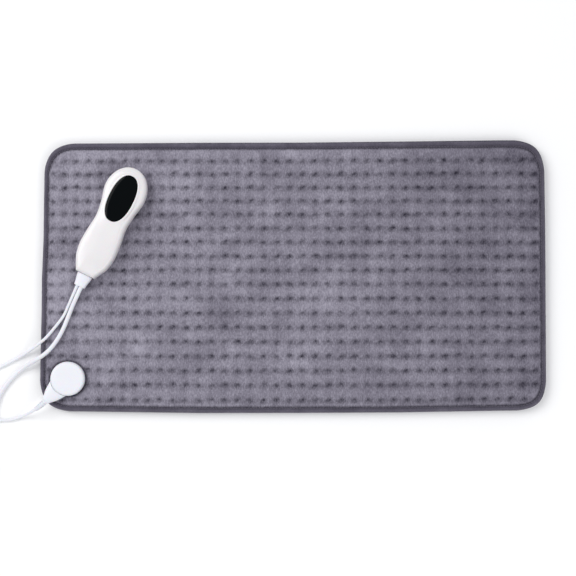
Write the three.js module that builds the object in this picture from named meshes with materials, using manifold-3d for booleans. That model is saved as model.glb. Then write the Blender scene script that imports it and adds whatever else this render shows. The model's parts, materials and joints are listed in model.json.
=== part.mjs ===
// An electric heating pad with a hand controller, built as separate named pieces.
// Millimetres, +Z up. The origin is the middle of the pad's underside, +X along its long side.
import * as THREE from "three";
import { mergeVertices } from "three/addons/utils/BufferGeometryUtils.js";
import Module from "manifold-3d";

const wasm = await Module();
wasm.setup();

// ---- Driving dimensions ----
const GAP = 0.3; // clearance between neighbouring pieces

// Pad
const PAD_LENGTH = 600;
const PAD_WIDTH = 322;
const PAD_CORNER_R = 38;
const TAPE_THICKNESS = 0.8;
const TAPE_WIDTH = 8; // how far the binding tape reaches over each face
const TAPE_ROUNDING = 2.5;
const BOTTOM_COVER_T = 1.6;
const FELT_T = 1.2;
const WIRE_D = 1.8;
const WADDING_T = 1.6;
const TOP_COVER_RIM_T = 1.4;
const PLUSH_RISE = 2.1; // how far the plush stands above the rim that the tape holds
const FELT_INSET = 14;
const WIRE_INSET = 30;
const WIRE_RUNS = 12;
const WIRE_END_SETBACK = 30;
const BEND_STEPS = 5;
const CUTOUT_LENGTH = 12;
const CUTOUT_WIDTH = 5;

// Connector at the corner: socket on the pad, plug on the pad lead
const SOCKET_FROM_LEFT = 33.5; // the socket's middle, from the pad's left and near edges
const SOCKET_FROM_NEAR = 38.8;
const SOCKET_TURN = 225; // degrees: the mouth faces the pad's corner
const SOCKET_R = 20;
const SOCKET_HEIGHT = 10.3;
const SOCKET_WALL = 1.6;
const SOCKET_ROUNDING = 1.5;
const STEM_R = 8;
const STEM_WALL = 2;
const BACKING_R = 17;
const CARRIER_START = 0.5; // the wall that holds the contact pins, from the socket's middle
const CARRIER_T = 4;
const MOUTH_HALF_WIDTH = 7;
const MOUTH_HALF_HEIGHT = 3.3;
const CONTACT_PITCH = 4.2;
const CONTACT_R = 0.8;
const CONTACT_REACH = 8.5; // of a pin, past the carrier
const SLEEVE_WALL = 0.4;
const SLEEVE_LENGTH = 10;
const SOCKET_SCREW_RADIUS = 13;
const PLUG_HALF_WIDE = 12;
const PLUG_HALF_TIP = 4.8;
const PLUG_HALF_HEIGHT = 4.7;
const PLUG_LENGTH = 17;
const RELIEF_R = 4;
const RELIEF_END_R = 2.8;
const RELIEF_RIBS = 5;
const RELIEF_END = [51.6, -1.4, 14.2]; // from the socket's middle, in its turned frame

// Hand controller
const HANDSET_X = -216.6;
const HANDSET_Y = 62.9;
const HANDSET_LEAN = -26.05; // degrees from +Y
const HANDSET_HEIGHT = 20;
const HANDSET_SIDE = [
  // half-width and distance up the controller's axis, from the cord end to the head
  [11.5, -69.3],
  [15, -62],
  [19.3, -52.4],
  [21.9, -38],
  [21.1, -20],
  [19.4, 0],
  [21.1, 18],
  [24.8, 37],
  [23.4, 50],
  [18.3, 60],
  [10.2, 67],
  [0, 69.5],
];
const LOWER_SHELL_H = 9;
const SHELL_WALL = 2;
const SHELL_ROUNDING = 4;
const LENS_LENGTH = 56.7;
const LENS_WIDTH = 29.1;
const LENS_T = 1.6;
const LENS_CENTRE = 29.7; // up the controller from its middle
const LENS_LEDGE = 1.4;
const BOARD_T = 1.6;
const BOARD_ROOM = 6.4; // clear height over the board
const BOOT_LENGTH = 15.5;
const BOOT_HALF_START = 9;
const BOOT_HALF_END = 6.7;
const CORD_EXIT_Z = 7; // height of the cords' axes in the controller
const LEAD_EXIT_X = -2.75;
const MAINS_EXIT_X = 2.3;
const POST_R = 3.8;
const SCREW_R = 1.25;
const SCREW_HEAD_R = 2.4;
const SCREW_HEAD_T = 1.2;
const SCREW_BOSS_WALL = 1.2;
const SIDE_STEPS = 18;

// Cords
const LEAD_D = 3.6; // pad lead
const MAINS_D = 5.1;
const LEAD_COIL = { x: -392, y: -149.5, r: 21.6, d: LEAD_D, across: 2, high: 2 };
const MAINS_COIL = { x: -396, y: -223, r: 29, d: MAINS_D, across: 4, high: 2 };
const COIL_SIDES = 32;
const TIE_T = 0.9;
const TIE_WIDTH = 6;
const MAINS_PLUG = { x: -438.5, y: -177, turn: 100 };
const PLUG_BODY_LENGTH = 36;
const PLUG_BODY_HALF_WIDTH = 17.6;
const PLUG_BODY_HALF_HEIGHT = 6.8;
const PLUG_RELIEF_LENGTH = 24;
const PIN_R = 2;
const PIN_LENGTH = 19;
const PIN_SLEEVE_LENGTH = 10;
const PIN_SPACING = 18.6;

// ---- Heights worked out from the stack ----
const LOWER_FELT_Z = BOTTOM_COVER_T + GAP;
const WIRE_Z = LOWER_FELT_Z + FELT_T + GAP + WIRE_D / 2;
const UPPER_FELT_Z = WIRE_Z + WIRE_D / 2 + GAP;
const WADDING_Z = UPPER_FELT_Z + FELT_T + GAP;
const TOP_COVER_Z = WADDING_Z + WADDING_T + GAP;
const RIM_TOP_Z = TOP_COVER_Z + TOP_COVER_RIM_T;
const TAPE_TOP_Z = RIM_TOP_Z + GAP + TAPE_THICKNESS;
const PAD_TOP_Z = RIM_TOP_Z + PLUSH_RISE;
const SURFACE_Z = PAD_TOP_Z + GAP; // what lies on the pad stands here
const BOARD_Z = HANDSET_HEIGHT - SHELL_WALL - BOARD_ROOM - BOARD_T; // from the controller's own underside

// ---- Materials ----
function finish(color, roughness, metalness = 0) {
  return new THREE.MeshStandardMaterial({ color, roughness, metalness });
}
const PLUSH = finish(0x7b7784, 0.95);
const TAPE = finish(0x4d4b57, 0.6);
const FELT = finish(0xd8d5ce, 0.95);
const HEATER = finish(0xe8e4da, 0.5);
const SHELL = finish(0xf0eeef, 0.35);
const WHITE_PVC = finish(0xf1f2f5, 0.45);
const LENS = finish(0x050809, 0.05);
const BOARD = finish(0x1f5a38, 0.5);
const BLACK = finish(0x17181a, 0.5);
const NICKEL = finish(0xc9c9c6, 0.3, 1);
const BRASS = finish(0xc8a655, 0.35, 1);
const DIFFUSER = finish(0xdfe3e6, 0.5);
const AMBER = finish(0xb5742a, 0.5);

// ---- Helpers ----
const part = new THREE.Group();

function add(name, geometry, material, parent = part) {
  const mesh = new THREE.Mesh(geometry, material);
  mesh.name = name;
  parent.add(mesh);
  return mesh;
}

function solid(geometry) {
  const bare = geometry.clone();
  bare.deleteAttribute("normal");
  bare.deleteAttribute("uv");
  const merged = mergeVertices(bare, 1e-4);
  const vertProperties = new Float32Array(merged.attributes.position.array);
  const triVerts = new Uint32Array(merged.index.array);
  return new wasm.Manifold(new wasm.Mesh({ numProp: 3, vertProperties, triVerts }));
}

function geometryOf(body) {
  const { vertProperties, triVerts } = body.getMesh();
  const geometry = new THREE.BufferGeometry();
  geometry.setAttribute("position", new THREE.BufferAttribute(vertProperties, 3));
  geometry.setIndex(new THREE.BufferAttribute(triVerts, 1));
  geometry.computeVertexNormals();
  return geometry;
}

function cut(geometry, ...tools) {
  const left = tools.reduce((body, tool) => body.subtract(solid(tool)), solid(geometry));
  return geometryOf(left);
}

function join(...geometries) {
  const [first, ...rest] = geometries.map(solid);
  return geometryOf(rest.reduce((body, other) => body.add(other), first));
}

function common(a, b) {
  return geometryOf(solid(a).intersect(solid(b)));
}

function slab(shape, z0, z1, curveSegments = 3) {
  const depth = z1 - z0;
  return new THREE.ExtrudeGeometry(shape, { depth, bevelEnabled: false, curveSegments }).translate(0, 0, z0);
}

// A slab whose top and bottom edges are rounded by r, with its outline kept.
function roundedSlab(shape, z0, z1, r, curveSegments = 3, bevelSegments = 2) {
  return new THREE.ExtrudeGeometry(shape, {
    depth: z1 - z0 - 2 * r,
    bevelThickness: r,
    bevelSize: r,
    bevelOffset: -r,
    bevelSegments,
    curveSegments,
  }).translate(0, 0, z0 + r);
}

function roundedRect(width, height, r) {
  const x = width / 2 - r;
  const y = height / 2 - r;
  const shape = new THREE.Shape();
  shape.absarc(x, y, r, 0, Math.PI / 2);
  shape.absarc(-x, y, r, Math.PI / 2, Math.PI);
  shape.absarc(-x, -y, r, Math.PI, 1.5 * Math.PI);
  shape.absarc(x, -y, r, 1.5 * Math.PI, 2 * Math.PI);
  return shape;
}

function oval(halfX, halfY, sides = 40) {
  const points = Array.from({ length: sides }, (_, i) => {
    const a = (2 * Math.PI * i) / sides;
    return new THREE.Vector2(halfX * Math.cos(a), halfY * Math.sin(a));
  });
  return new THREE.Shape(points);
}

function disc(r, z0, z1, x = 0, y = 0, sides = 24) {
  return slab(oval(r, r, sides), z0, z1).translate(x, y, 0);
}

function block(x0, x1, y0, y1, z0, z1) {
  return new THREE.BoxGeometry(x1 - x0, y1 - y0, z1 - z0).translate(
    (x0 + x1) / 2,
    (y0 + y1) / 2,
    (z0 + z1) / 2,
  );
}

// A solid of revolution about Z, from [radius, height] pairs that start and end on the axis
// or close on themselves.
function turned(profile, sides = 16) {
  return new THREE.LatheGeometry(
    profile.map(([r, z]) => new THREE.Vector2(r, z)),
    sides,
  ).rotateX(Math.PI / 2);
}

// The same, with its axis along +X.
function turnedAlongX(profile, sides = 16) {
  return turned(profile, sides).rotateY(Math.PI / 2);
}

// A closed body through rings of points, all with the same count, first ring to last.
function loft(rings) {
  const count = rings[0].length;
  const middle = (ring) => ring.reduce((sum, p) => sum.add(p), new THREE.Vector3()).divideScalar(count);
  const points = [...rings.flat(), middle(rings[0]), middle(rings[rings.length - 1])];
  const faces = [];
  for (let k = 0; k < rings.length - 1; k++) {
    for (let i = 0; i < count; i++) {
      const a = k * count + i;
      const b = k * count + ((i + 1) % count);
      faces.push(a, b, b + count, a, b + count, a + count);
    }
  }
  const last = (rings.length - 1) * count;
  for (let i = 0; i < count; i++) {
    const next = (i + 1) % count;
    faces.push(points.length - 2, next, i, points.length - 1, last + i, last + next);
  }
  const geometry = new THREE.BufferGeometry().setFromPoints(points);
  geometry.setIndex(faces);
  return geometry;
}

// A superellipse ring across the X axis: half-width along Y, half-height along Z.
function sectionAcrossX(x, halfWidth, halfHeight, sides = 20, power = 2.8) {
  return Array.from({ length: sides }, (_, i) => {
    const a = (2 * Math.PI * (i + 0.5)) / sides;
    const [c, s] = [Math.cos(a), Math.sin(a)];
    const y = Math.sign(c) * Math.abs(c) ** (2 / power) * halfWidth;
    const z = Math.sign(s) * Math.abs(s) ** (2 / power) * halfHeight;
    return new THREE.Vector3(x, y, z);
  });
}

// A round body along a curve, with a radius for each of the evenly spaced rings.
function bentCone(curve, radii, sides = 12) {
  const steps = radii.length - 1;
  const frames = curve.computeFrenetFrames(steps, false);
  return loft(
    radii.map((r, k) => {
      const centre = curve.getPointAt(k / steps);
      return Array.from({ length: sides }, (_, i) => {
        const a = (2 * Math.PI * i) / sides;
        return centre
          .clone()
          .addScaledVector(frames.normals[k], r * Math.cos(a))
          .addScaledVector(frames.binormals[k], r * Math.sin(a));
      });
    }),
  );
}

// A path straight from point to point, for wire whose bends are worked out beforehand.
class PointPath extends THREE.Curve {
  constructor(points) {
    super();
    this.points = points;
  }
  getPoint(t) {
    const at = Math.min(Math.max(t, 0), 1) * (this.points.length - 1);
    const i = Math.min(Math.floor(at), this.points.length - 2);
    return this.points[i].clone().lerp(this.points[i + 1], at - i);
  }
  getPointAt(u) {
    return this.getPoint(u);
  }
  getTangentAt(u) {
    return this.getTangent(u);
  }
}

function tube(path, diameter, steps, sides = 8) {
  const section = oval(diameter / 2, diameter / 2, sides);
  return new THREE.ExtrudeGeometry(section, { steps, extrudePath: path, bevelEnabled: false });
}

function smoothPath(points) {
  return new THREE.CatmullRomCurve3(
    points.map((p) => new THREE.Vector3(...p)),
    false,
    "centripetal",
  );
}

function cordTube(points, diameter) {
  const path = smoothPath(points);
  return tube(path, diameter, Math.round(path.getLength() / (2.6 * diameter)));
}

// A pan-head screw that stands on its head at z0 and points up.
function screw(z0, z1) {
  const neck = z0 + SCREW_HEAD_T;
  return turned(
    [
      [0, z0],
      [SCREW_HEAD_R, z0],
      [SCREW_HEAD_R, neck],
      [SCREW_R, neck],
      [SCREW_R, z1],
      [0, z1],
    ],
    10,
  );
}

// ---- Pad ----
const SOCKET_X = SOCKET_FROM_LEFT - PAD_LENGTH / 2;
const SOCKET_Y = SOCKET_FROM_NEAR - PAD_WIDTH / 2;
const SOCKET_PLACE = new THREE.Matrix4()
  .makeRotationZ(THREE.MathUtils.degToRad(SOCKET_TURN))
  .setPosition(SOCKET_X, SOCKET_Y, 0);
const SOCKET_SCREWS = [60, 180, 300].map((degrees) => {
  const a = THREE.MathUtils.degToRad(degrees);
  return [SOCKET_SCREW_RADIUS * Math.cos(a), SOCKET_SCREW_RADIUS * Math.sin(a)];
});

function atSocket(geometry) {
  return geometry.applyMatrix4(SOCKET_PLACE);
}

function padOutline(inset) {
  return roundedRect(PAD_LENGTH - 2 * inset, PAD_WIDTH - 2 * inset, PAD_CORNER_R - inset);
}

function addCovers() {
  const rimInset = TAPE_THICKNESS + GAP;
  const faceInset = TAPE_WIDTH + GAP;
  const bottomRim = slab(padOutline(rimInset), TAPE_THICKNESS + GAP, BOTTOM_COVER_T);
  const bottomFace = slab(padOutline(faceInset), 0, BOTTOM_COVER_T);
  add("bottom_cover", join(bottomFace, bottomRim), PLUSH);

  const topRim = slab(padOutline(rimInset), TOP_COVER_Z, RIM_TOP_Z);
  const topFace = slab(padOutline(faceInset), TOP_COVER_Z, PAD_TOP_Z);
  const holes = SOCKET_SCREWS.map(([x, y]) => disc(SCREW_R + GAP, 0, SURFACE_Z, x, y, 8));
  holes.push(disc(STEM_R + GAP, 0, SURFACE_Z));
  add("top_cover", cut(join(topFace, topRim), ...holes.map(atSocket)), PLUSH);
}

function addBinding() {
  const outside = roundedSlab(padOutline(0), 0, TAPE_TOP_Z, TAPE_ROUNDING);
  const hollow = slab(padOutline(TAPE_THICKNESS), TAPE_THICKNESS, TAPE_TOP_Z - TAPE_THICKNESS);
  const opening = slab(padOutline(TAPE_WIDTH), -1, TAPE_TOP_Z + 1);
  add("edge_binding", cut(outside, hollow, opening), TAPE);
}

function addInnerLayers() {
  add("lower_felt", slab(padOutline(FELT_INSET), LOWER_FELT_Z, LOWER_FELT_Z + FELT_T), FELT);
  const plateHole = () => atSocket(disc(BACKING_R + GAP, UPPER_FELT_Z - 1, TOP_COVER_Z + 1, 0, 0, 36));
  const upperFelt = slab(padOutline(FELT_INSET), UPPER_FELT_Z, UPPER_FELT_Z + FELT_T);
  add("upper_felt", cut(upperFelt, plateHole()), FELT);
  const wadding = slab(padOutline(FELT_INSET), WADDING_Z, WADDING_Z + WADDING_T);
  add("wadding", cut(wadding, plateHole()), FELT);
}

// The runs of the heating wire go back and forth along X, joined by half-round bends at alternate ends.
function serpentine() {
  const span = PAD_WIDTH - 2 * WIRE_INSET;
  const pitch = span / (WIRE_RUNS - 1);
  const reach = PAD_LENGTH / 2 - WIRE_INSET - pitch / 2;
  const points = [];
  for (let run = 0; run < WIRE_RUNS; run++) {
    const y = span / 2 - run * pitch;
    const side = run % 2 ? -1 : 1;
    const short = run === 0 || run === WIRE_RUNS - 1 ? WIRE_END_SETBACK : 0;
    const from = -side * reach + (side > 0 ? short : 0);
    const to = side * reach + (side < 0 ? short : 0);
    points.push(new THREE.Vector3(from, y, WIRE_Z), new THREE.Vector3(to, y, WIRE_Z));
    for (let i = 1; i < BEND_STEPS && run < WIRE_RUNS - 1; i++) {
      const a = (Math.PI * i) / BEND_STEPS;
      const x = to + (side * pitch * Math.sin(a)) / 2;
      points.push(new THREE.Vector3(x, y - (pitch * (1 - Math.cos(a))) / 2, WIRE_Z));
    }
  }
  return points;
}

function addHeatingWire() {
  const points = serpentine();
  add("heating_wire", tube(new PointPath(points), WIRE_D, points.length - 1, 6), HEATER);
  const first = points[0];
  const last = points[points.length - 1];

  // The cut-out joins the wire's far end to the long tail, which runs down the left side to the socket.
  const cutout = block(-CUTOUT_LENGTH, 0, -CUTOUT_WIDTH / 2, CUTOUT_WIDTH / 2, -WIRE_D / 2, WIRE_D / 2);
  add("thermal_cutout", cutout.translate(first.x - GAP, first.y, WIRE_Z), BLACK);
  const left = WIRE_INSET / 2 + WIRE_D - PAD_LENGTH / 2;
  const legs = SOCKET_CONTACTS.map((v) => new THREE.Vector3(LEG_X, v, 0).applyMatrix4(SOCKET_PLACE));
  const longTail = [
    [first.x - CUTOUT_LENGTH - 2 * GAP, first.y, WIRE_Z],
    [left + 12, first.y, WIRE_Z],
    [left, first.y - 12, WIRE_Z],
    [left, legs[2].y + 20, WIRE_Z],
    [left + 3, legs[2].y + 8, WIRE_Z],
    [legs[2].x, legs[2].y, WIRE_Z],
  ];
  const shortTail = [
    [last.x - GAP, last.y, WIRE_Z],
    [last.x - 10, last.y + 1, WIRE_Z],
    [legs[0].x + 8, legs[0].y - 2, WIRE_Z],
    [legs[0].x, legs[0].y, WIRE_Z],
  ];
  const tail = (points) => {
    const path = new PointPath(points.map((p) => new THREE.Vector3(...p)));
    return tube(path, WIRE_D, points.length - 1, 6);
  };
  add("wire_tail_far", tail(longTail), HEATER);
  add("wire_tail_near", tail(shortTail), HEATER);
}

// ---- Socket on the pad, in a group whose +X is the way the plug pulls out ----
const socket = new THREE.Group();
socket.position.set(SOCKET_X, SOCKET_Y, 0);
socket.rotation.z = THREE.MathUtils.degToRad(SOCKET_TURN);
part.add(socket);
const AXIS_Z = SURFACE_Z + SOCKET_HEIGHT / 2; // height of the contact pins
const SOCKET_TOP_Z = SURFACE_Z + SOCKET_HEIGHT;
const MOUTH_START = CARRIER_START + CARRIER_T;
const LEG_X = CARRIER_START - 2.4;
const SOCKET_CONTACTS = [-CONTACT_PITCH, 0, CONTACT_PITCH];

// What both halves have: a tray, walls round the mouth and posts for the screws.
function socketHalf(z0, z1, floor) {
  const [low, high] = floor === "below" ? [z0 + SOCKET_WALL, z1 + 1] : [z0 - 1, z1 - SOCKET_WALL];
  const outside = common(
    roundedSlab(oval(SOCKET_R, SOCKET_R, 36), SURFACE_Z, SOCKET_TOP_Z, SOCKET_ROUNDING),
    block(-SOCKET_R - 1, SOCKET_R + 1, -SOCKET_R - 1, SOCKET_R + 1, z0, z1),
  );
  const tray = cut(outside, disc(SOCKET_R - SOCKET_WALL, low, high, 0, 0, 36));
  const inside = disc(SOCKET_R - SOCKET_WALL / 2, z0, z1, 0, 0, 36);
  const wallY = MOUTH_HALF_WIDTH + SOCKET_WALL;
  const walls = common(inside, block(CARRIER_START, SOCKET_R, -wallY, wallY, z0 + 0.5, z1 - 0.5));
  const posts = SOCKET_SCREWS.map(([x, y]) => disc(SCREW_R + GAP + 1, z0 + 0.5, z1 - 0.5, x, y, 12));
  const mouth = block(
    MOUTH_START,
    SOCKET_R + 1,
    -MOUTH_HALF_WIDTH,
    MOUTH_HALF_WIDTH,
    AXIS_Z - MOUTH_HALF_HEIGHT,
    AXIS_Z + MOUTH_HALF_HEIGHT,
  );
  const bores = SOCKET_CONTACTS.map((y) =>
    disc(CONTACT_R + GAP, 0, CARRIER_T + 2, 0, 0, 8)
      .rotateY(Math.PI / 2)
      .translate(CARRIER_START - 1, y, AXIS_Z),
  );
  return cut(join(tray, walls, ...posts), mouth, ...bores);
}

function addSocket() {
  const screwTop = SOCKET_TOP_Z - SOCKET_WALL - GAP;
  const screwBores = () => SOCKET_SCREWS.map(([x, y]) => disc(SCREW_R + GAP, 0, screwTop + GAP, x, y, 8));
  const stem = disc(STEM_R, UPPER_FELT_Z + FELT_T, SURFACE_Z + 0.5);
  const stemBore = disc(STEM_R - STEM_WALL, 0, SURFACE_Z + SOCKET_WALL + 0.5);
  const base = join(socketHalf(SURFACE_Z, AXIS_Z - GAP / 2, "below"), stem);
  add("socket_base", cut(base, stemBore, ...screwBores()), WHITE_PVC, socket);
  const cap = socketHalf(AXIS_Z + GAP / 2, SOCKET_TOP_Z, "above");
  add("socket_cap", cut(cap, ...screwBores()), WHITE_PVC, socket);

  const plate = disc(BACKING_R, WADDING_Z, WADDING_Z + WADDING_T, 0, 0, 24);
  const plateHoles = [disc(STEM_R + GAP, 0, SURFACE_Z), ...screwBores()];
  add("socket_backing_plate", cut(plate, ...plateHoles), WHITE_PVC, socket);
  SOCKET_SCREWS.forEach(([x, y], i) => {
    const headBottom = WADDING_Z - GAP - SCREW_HEAD_T;
    const mesh = add(`socket_screw_${i + 1}`, screw(headBottom, screwTop), NICKEL, socket);
    mesh.position.set(x, y, 0);
  });
  SOCKET_CONTACTS.forEach((y, i) => {
    const tip = MOUTH_START + CONTACT_REACH;
    const pin = disc(CONTACT_R, 0, tip - LEG_X, 0, 0, 8).rotateY(Math.PI / 2).translate(LEG_X, y, AXIS_Z);
    const leg = block(LEG_X - CONTACT_R, LEG_X + CONTACT_R, y - 0.6, y + 0.6, UPPER_FELT_Z, AXIS_Z + 0.4);
    add(`contact_pin_${i + 1}`, join(pin, leg), BRASS, socket);
  });
}

// ---- Plug of the pad lead, in the socket's group ----
function addConnectorPlug() {
  const noseStart = MOUTH_START + GAP;
  const noseY = MOUTH_HALF_WIDTH - GAP;
  const noseZ = MOUTH_HALF_HEIGHT - GAP;
  const plugStart = Math.sqrt((SOCKET_R + GAP) ** 2 - PLUG_HALF_WIDE ** 2) - 0.5;
  const plugEnd = SOCKET_R + PLUG_LENGTH;
  const shareAt = (s) => plugStart + s * (plugEnd - plugStart);
  const sections = [
    sectionAcrossX(plugStart, PLUG_HALF_WIDE, PLUG_HALF_HEIGHT),
    sectionAcrossX(shareAt(0.3), 0.84 * PLUG_HALF_WIDE, PLUG_HALF_HEIGHT),
    sectionAcrossX(shareAt(0.62), 0.58 * PLUG_HALF_WIDE, 0.97 * PLUG_HALF_HEIGHT),
    sectionAcrossX(plugEnd, PLUG_HALF_TIP, 0.93 * PLUG_HALF_HEIGHT),
  ];
  const round = disc(SOCKET_R + GAP, -10, 10, 0, 0, 36);
  const cone = cut(loft(sections), round);
  const nose = block(noseStart, SOCKET_R + 2, -noseY, noseY, -noseZ, noseZ);
  const sleeveR = CONTACT_R + GAP + SLEEVE_WALL;
  const sleeveEnd = noseStart + 0.5 + SLEEVE_LENGTH;
  const bores = SOCKET_CONTACTS.map((y) =>
    disc(sleeveR + GAP, noseStart - 1, sleeveEnd + 2, 0, 0, 10).rotateY(Math.PI / 2).translate(0, y, 0),
  );
  const wiring = block(sleeveEnd + 1, plugEnd - 7, -PLUG_HALF_TIP, PLUG_HALF_TIP, -2.4, 2.4);
  const flange = { start: plugEnd - 6, end: plugEnd - 4, r: 3.5, neck: 2.6 };
  const seat = disc(flange.r + GAP, flange.start - GAP, flange.end + GAP, 0, 0, 12).rotateY(Math.PI / 2);
  const throat = disc(flange.neck + GAP, plugEnd - 8, plugEnd + 1, 0, 0, 12).rotateY(Math.PI / 2);
  const body = cut(join(cone, nose), ...bores, wiring, seat, throat);
  const half = (z0, z1) => common(body, block(0, plugEnd + 5, -20, 20, z0, z1)).translate(0, 0, AXIS_Z);
  add("plug_lower_shell", half(-10, -GAP / 2), WHITE_PVC, socket);
  add("plug_upper_shell", half(GAP / 2, 10), WHITE_PVC, socket);
  SOCKET_CONTACTS.forEach((y, i) => {
    const sleeve = cut(
      disc(sleeveR, noseStart + 0.5, sleeveEnd, 0, 0, 10),
      disc(CONTACT_R + GAP, noseStart, sleeveEnd + 1, 0, 0, 10),
    );
    add(`plug_contact_${i + 1}`, sleeve.rotateY(Math.PI / 2).translate(0, y, AXIS_Z), BRASS, socket);
  });
  addRelief(plugEnd, flange);
}

// The ribbed strain relief leaves the plug level and droops towards the cord.
function addRelief(plugEnd, flange) {
  const curve = smoothPath([
    [plugEnd + 2 * GAP, 0, AXIS_Z],
    [plugEnd + 5, 0, AXIS_Z - 0.3],
    [plugEnd + 10, -0.5, AXIS_Z - 1.5],
    RELIEF_END,
  ]);
  const radii = Array.from({ length: 2 * RELIEF_RIBS + 1 }, (_, k) => {
    const along = k / (2 * RELIEF_RIBS);
    return (RELIEF_R + along * (RELIEF_END_R - RELIEF_R)) * (k % 2 ? 0.78 : 1);
  });
  const anchor = turnedAlongX(
    [
      [0, flange.start],
      [flange.r, flange.start],
      [flange.r, flange.end],
      [flange.neck, flange.end],
      [flange.neck, plugEnd + 1],
      [0, plugEnd + 1],
    ],
    12,
  ).translate(0, 0, AXIS_Z);
  add("plug_strain_relief", join(anchor, bentCone(curve, radii)), WHITE_PVC, socket);
}

// ---- Hand controller, in a group whose +Y runs from the cords to the head ----
const handset = new THREE.Group();
handset.position.set(HANDSET_X, HANDSET_Y, SURFACE_Z);
handset.rotation.z = THREE.MathUtils.degToRad(HANDSET_LEAN);
part.add(handset);
const CORD_END_Y = HANDSET_SIDE[0][1];
const HOUSING_SCREWS = [
  [-18, 36],
  [18, 36],
  [-14.8, -43],
  [14.8, -43],
];
const CLAMP_SCREWS = [-9.8, 9.8];
const CLAMP_Y = -57;

// The controller's outline, moved in by inset, from the cord end's right corner round the head.
function handsetOutline(inset) {
  const side = smoothPath(HANDSET_SIDE.map(([x, y]) => [x, y, 0]));
  const right = Array.from({ length: SIDE_STEPS + 1 }, (_, k) => {
    const p = side.getPointAt(k / SIDE_STEPS);
    const t = side.getTangentAt(k / SIDE_STEPS);
    const x = k === SIDE_STEPS ? 0 : p.x - inset * t.y;
    const y = k === SIDE_STEPS ? p.y - inset : p.y + inset * t.x;
    return new THREE.Vector2(x, Math.max(y, CORD_END_Y + inset));
  });
  const left = right.slice(0, -1).map((p) => new THREE.Vector2(-p.x, p.y));
  return [...right, ...left.reverse()];
}

// A body that follows the controller's outline, from [inset, height] pairs going up.
function handsetBody(profile) {
  return loft(profile.map(([inset, z]) => handsetOutline(inset).map((p) => new THREE.Vector3(p.x, p.y, z))));
}

function roundedEdge(z, upwards) {
  const r = SHELL_ROUNDING;
  const steps = [0, 30, 60, 90].map((degrees) => {
    const a = THREE.MathUtils.degToRad(degrees);
    const height = r - r * Math.sin(a);
    return [r - r * Math.cos(a), upwards ? z - height : z + height];
  });
  return upwards ? steps : steps.reverse();
}

function lensOval(grow) {
  return oval(LENS_WIDTH / 2 + grow, LENS_LENGTH / 2 + grow, 36);
}

function atLens(geometry) {
  return geometry.translate(0, LENS_CENTRE, 0);
}

function bootPassage() {
  const [halfX, halfZ] = [7.5, 4.3];
  const y = CORD_END_Y;
  const neck = block(-halfX, halfX, y - 1, y + 8, CORD_EXIT_Z - halfZ, CORD_EXIT_Z + halfZ);
  const seat = block(-9.2, 9.2, y + 2.7, y + 5.3, CORD_EXIT_Z - 4.9, CORD_EXIT_Z + 4.9);
  return [neck, seat];
}

function addHandsetShells() {
  const parting = LOWER_SHELL_H;
  const innerTop = HANDSET_HEIGHT - SHELL_WALL;
  const lowerOutside = handsetBody([...roundedEdge(0, false), [0, parting - GAP / 2]]);
  const lowerHollow = handsetBody([
    [SHELL_WALL + 1, SHELL_WALL],
    [SHELL_WALL, SHELL_WALL + 1.5],
    [SHELL_WALL, parting + 1],
  ]);
  const inside = (geometry) => common(geometry, handsetBody([[1, 1], [1, HANDSET_HEIGHT - 1]]));
  const lowerPosts = HOUSING_SCREWS.map(([x, y]) => disc(POST_R, 1, parting - GAP / 2, x, y, 14));
  const boardPosts = [-34, 18].map((y) => disc(2.2, 1, BOARD_Z - GAP, 0, y, 10));
  const clampPosts = CLAMP_SCREWS.map((x) => disc(2.9, 1, CORD_EXIT_Z + 1, x, CLAMP_Y, 12));
  const saddle = block(-7, 7, CLAMP_Y - 2.5, CLAMP_Y + 2.5, 1, CORD_EXIT_Z - MAINS_D / 2 - GAP);
  const wells = HOUSING_SCREWS.flatMap(([x, y]) => [
    disc(SCREW_HEAD_R + GAP, -1, 1 + SCREW_HEAD_T + GAP, x, y, 12),
    disc(SCREW_R + GAP, 0, parting + 1, x, y, 8),
  ]);
  const clampBores = CLAMP_SCREWS.map((x) => disc(SCREW_R + GAP, 3, parting + 4, x, CLAMP_Y, 8));
  const lowerShell = join(
    cut(lowerOutside, lowerHollow),
    ...[...lowerPosts, ...boardPosts, ...clampPosts, saddle].map(inside),
  );
  add("handset_lower_shell", cut(lowerShell, ...wells, ...clampBores, ...bootPassage()), SHELL, handset);

  const upperOutside = handsetBody([[0, parting + GAP / 2], ...roundedEdge(HANDSET_HEIGHT, true)]);
  const upperHollow = handsetBody([
    [SHELL_WALL, parting - 1],
    [SHELL_WALL, innerTop - 1.5],
    [SHELL_WALL + 1.5, innerTop],
  ]);
  const ledge = atLens(slab(lensOval(LENS_LEDGE + 1), innerTop - 1.5, innerTop + 1));
  const bossR = SCREW_R + GAP + SCREW_BOSS_WALL;
  const upperPosts = HOUSING_SCREWS.map(([x, y]) =>
    disc(bossR, parting + GAP / 2, innerTop + 0.5, x, y, 12),
  );
  const screwBores = HOUSING_SCREWS.map(([x, y]) => disc(SCREW_R + GAP, 0, innerTop - 1, x, y, 8));
  const opening = atLens(slab(lensOval(-LENS_LEDGE), 0, HANDSET_HEIGHT + 1));
  const rebate = atLens(slab(lensOval(GAP), HANDSET_HEIGHT - LENS_T - GAP, HANDSET_HEIGHT + 1));
  const upperShell = join(cut(upperOutside, upperHollow), ...[ledge, ...upperPosts].map(inside));
  add("handset_upper_shell", cut(upperShell, opening, rebate, ...screwBores, ...bootPassage()), SHELL, handset);
  HOUSING_SCREWS.forEach(([x, y], i) => {
    add(`housing_screw_${i + 1}`, screw(1, innerTop - 1 - GAP).translate(x, y, 0), NICKEL, handset);
  });
}

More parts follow.
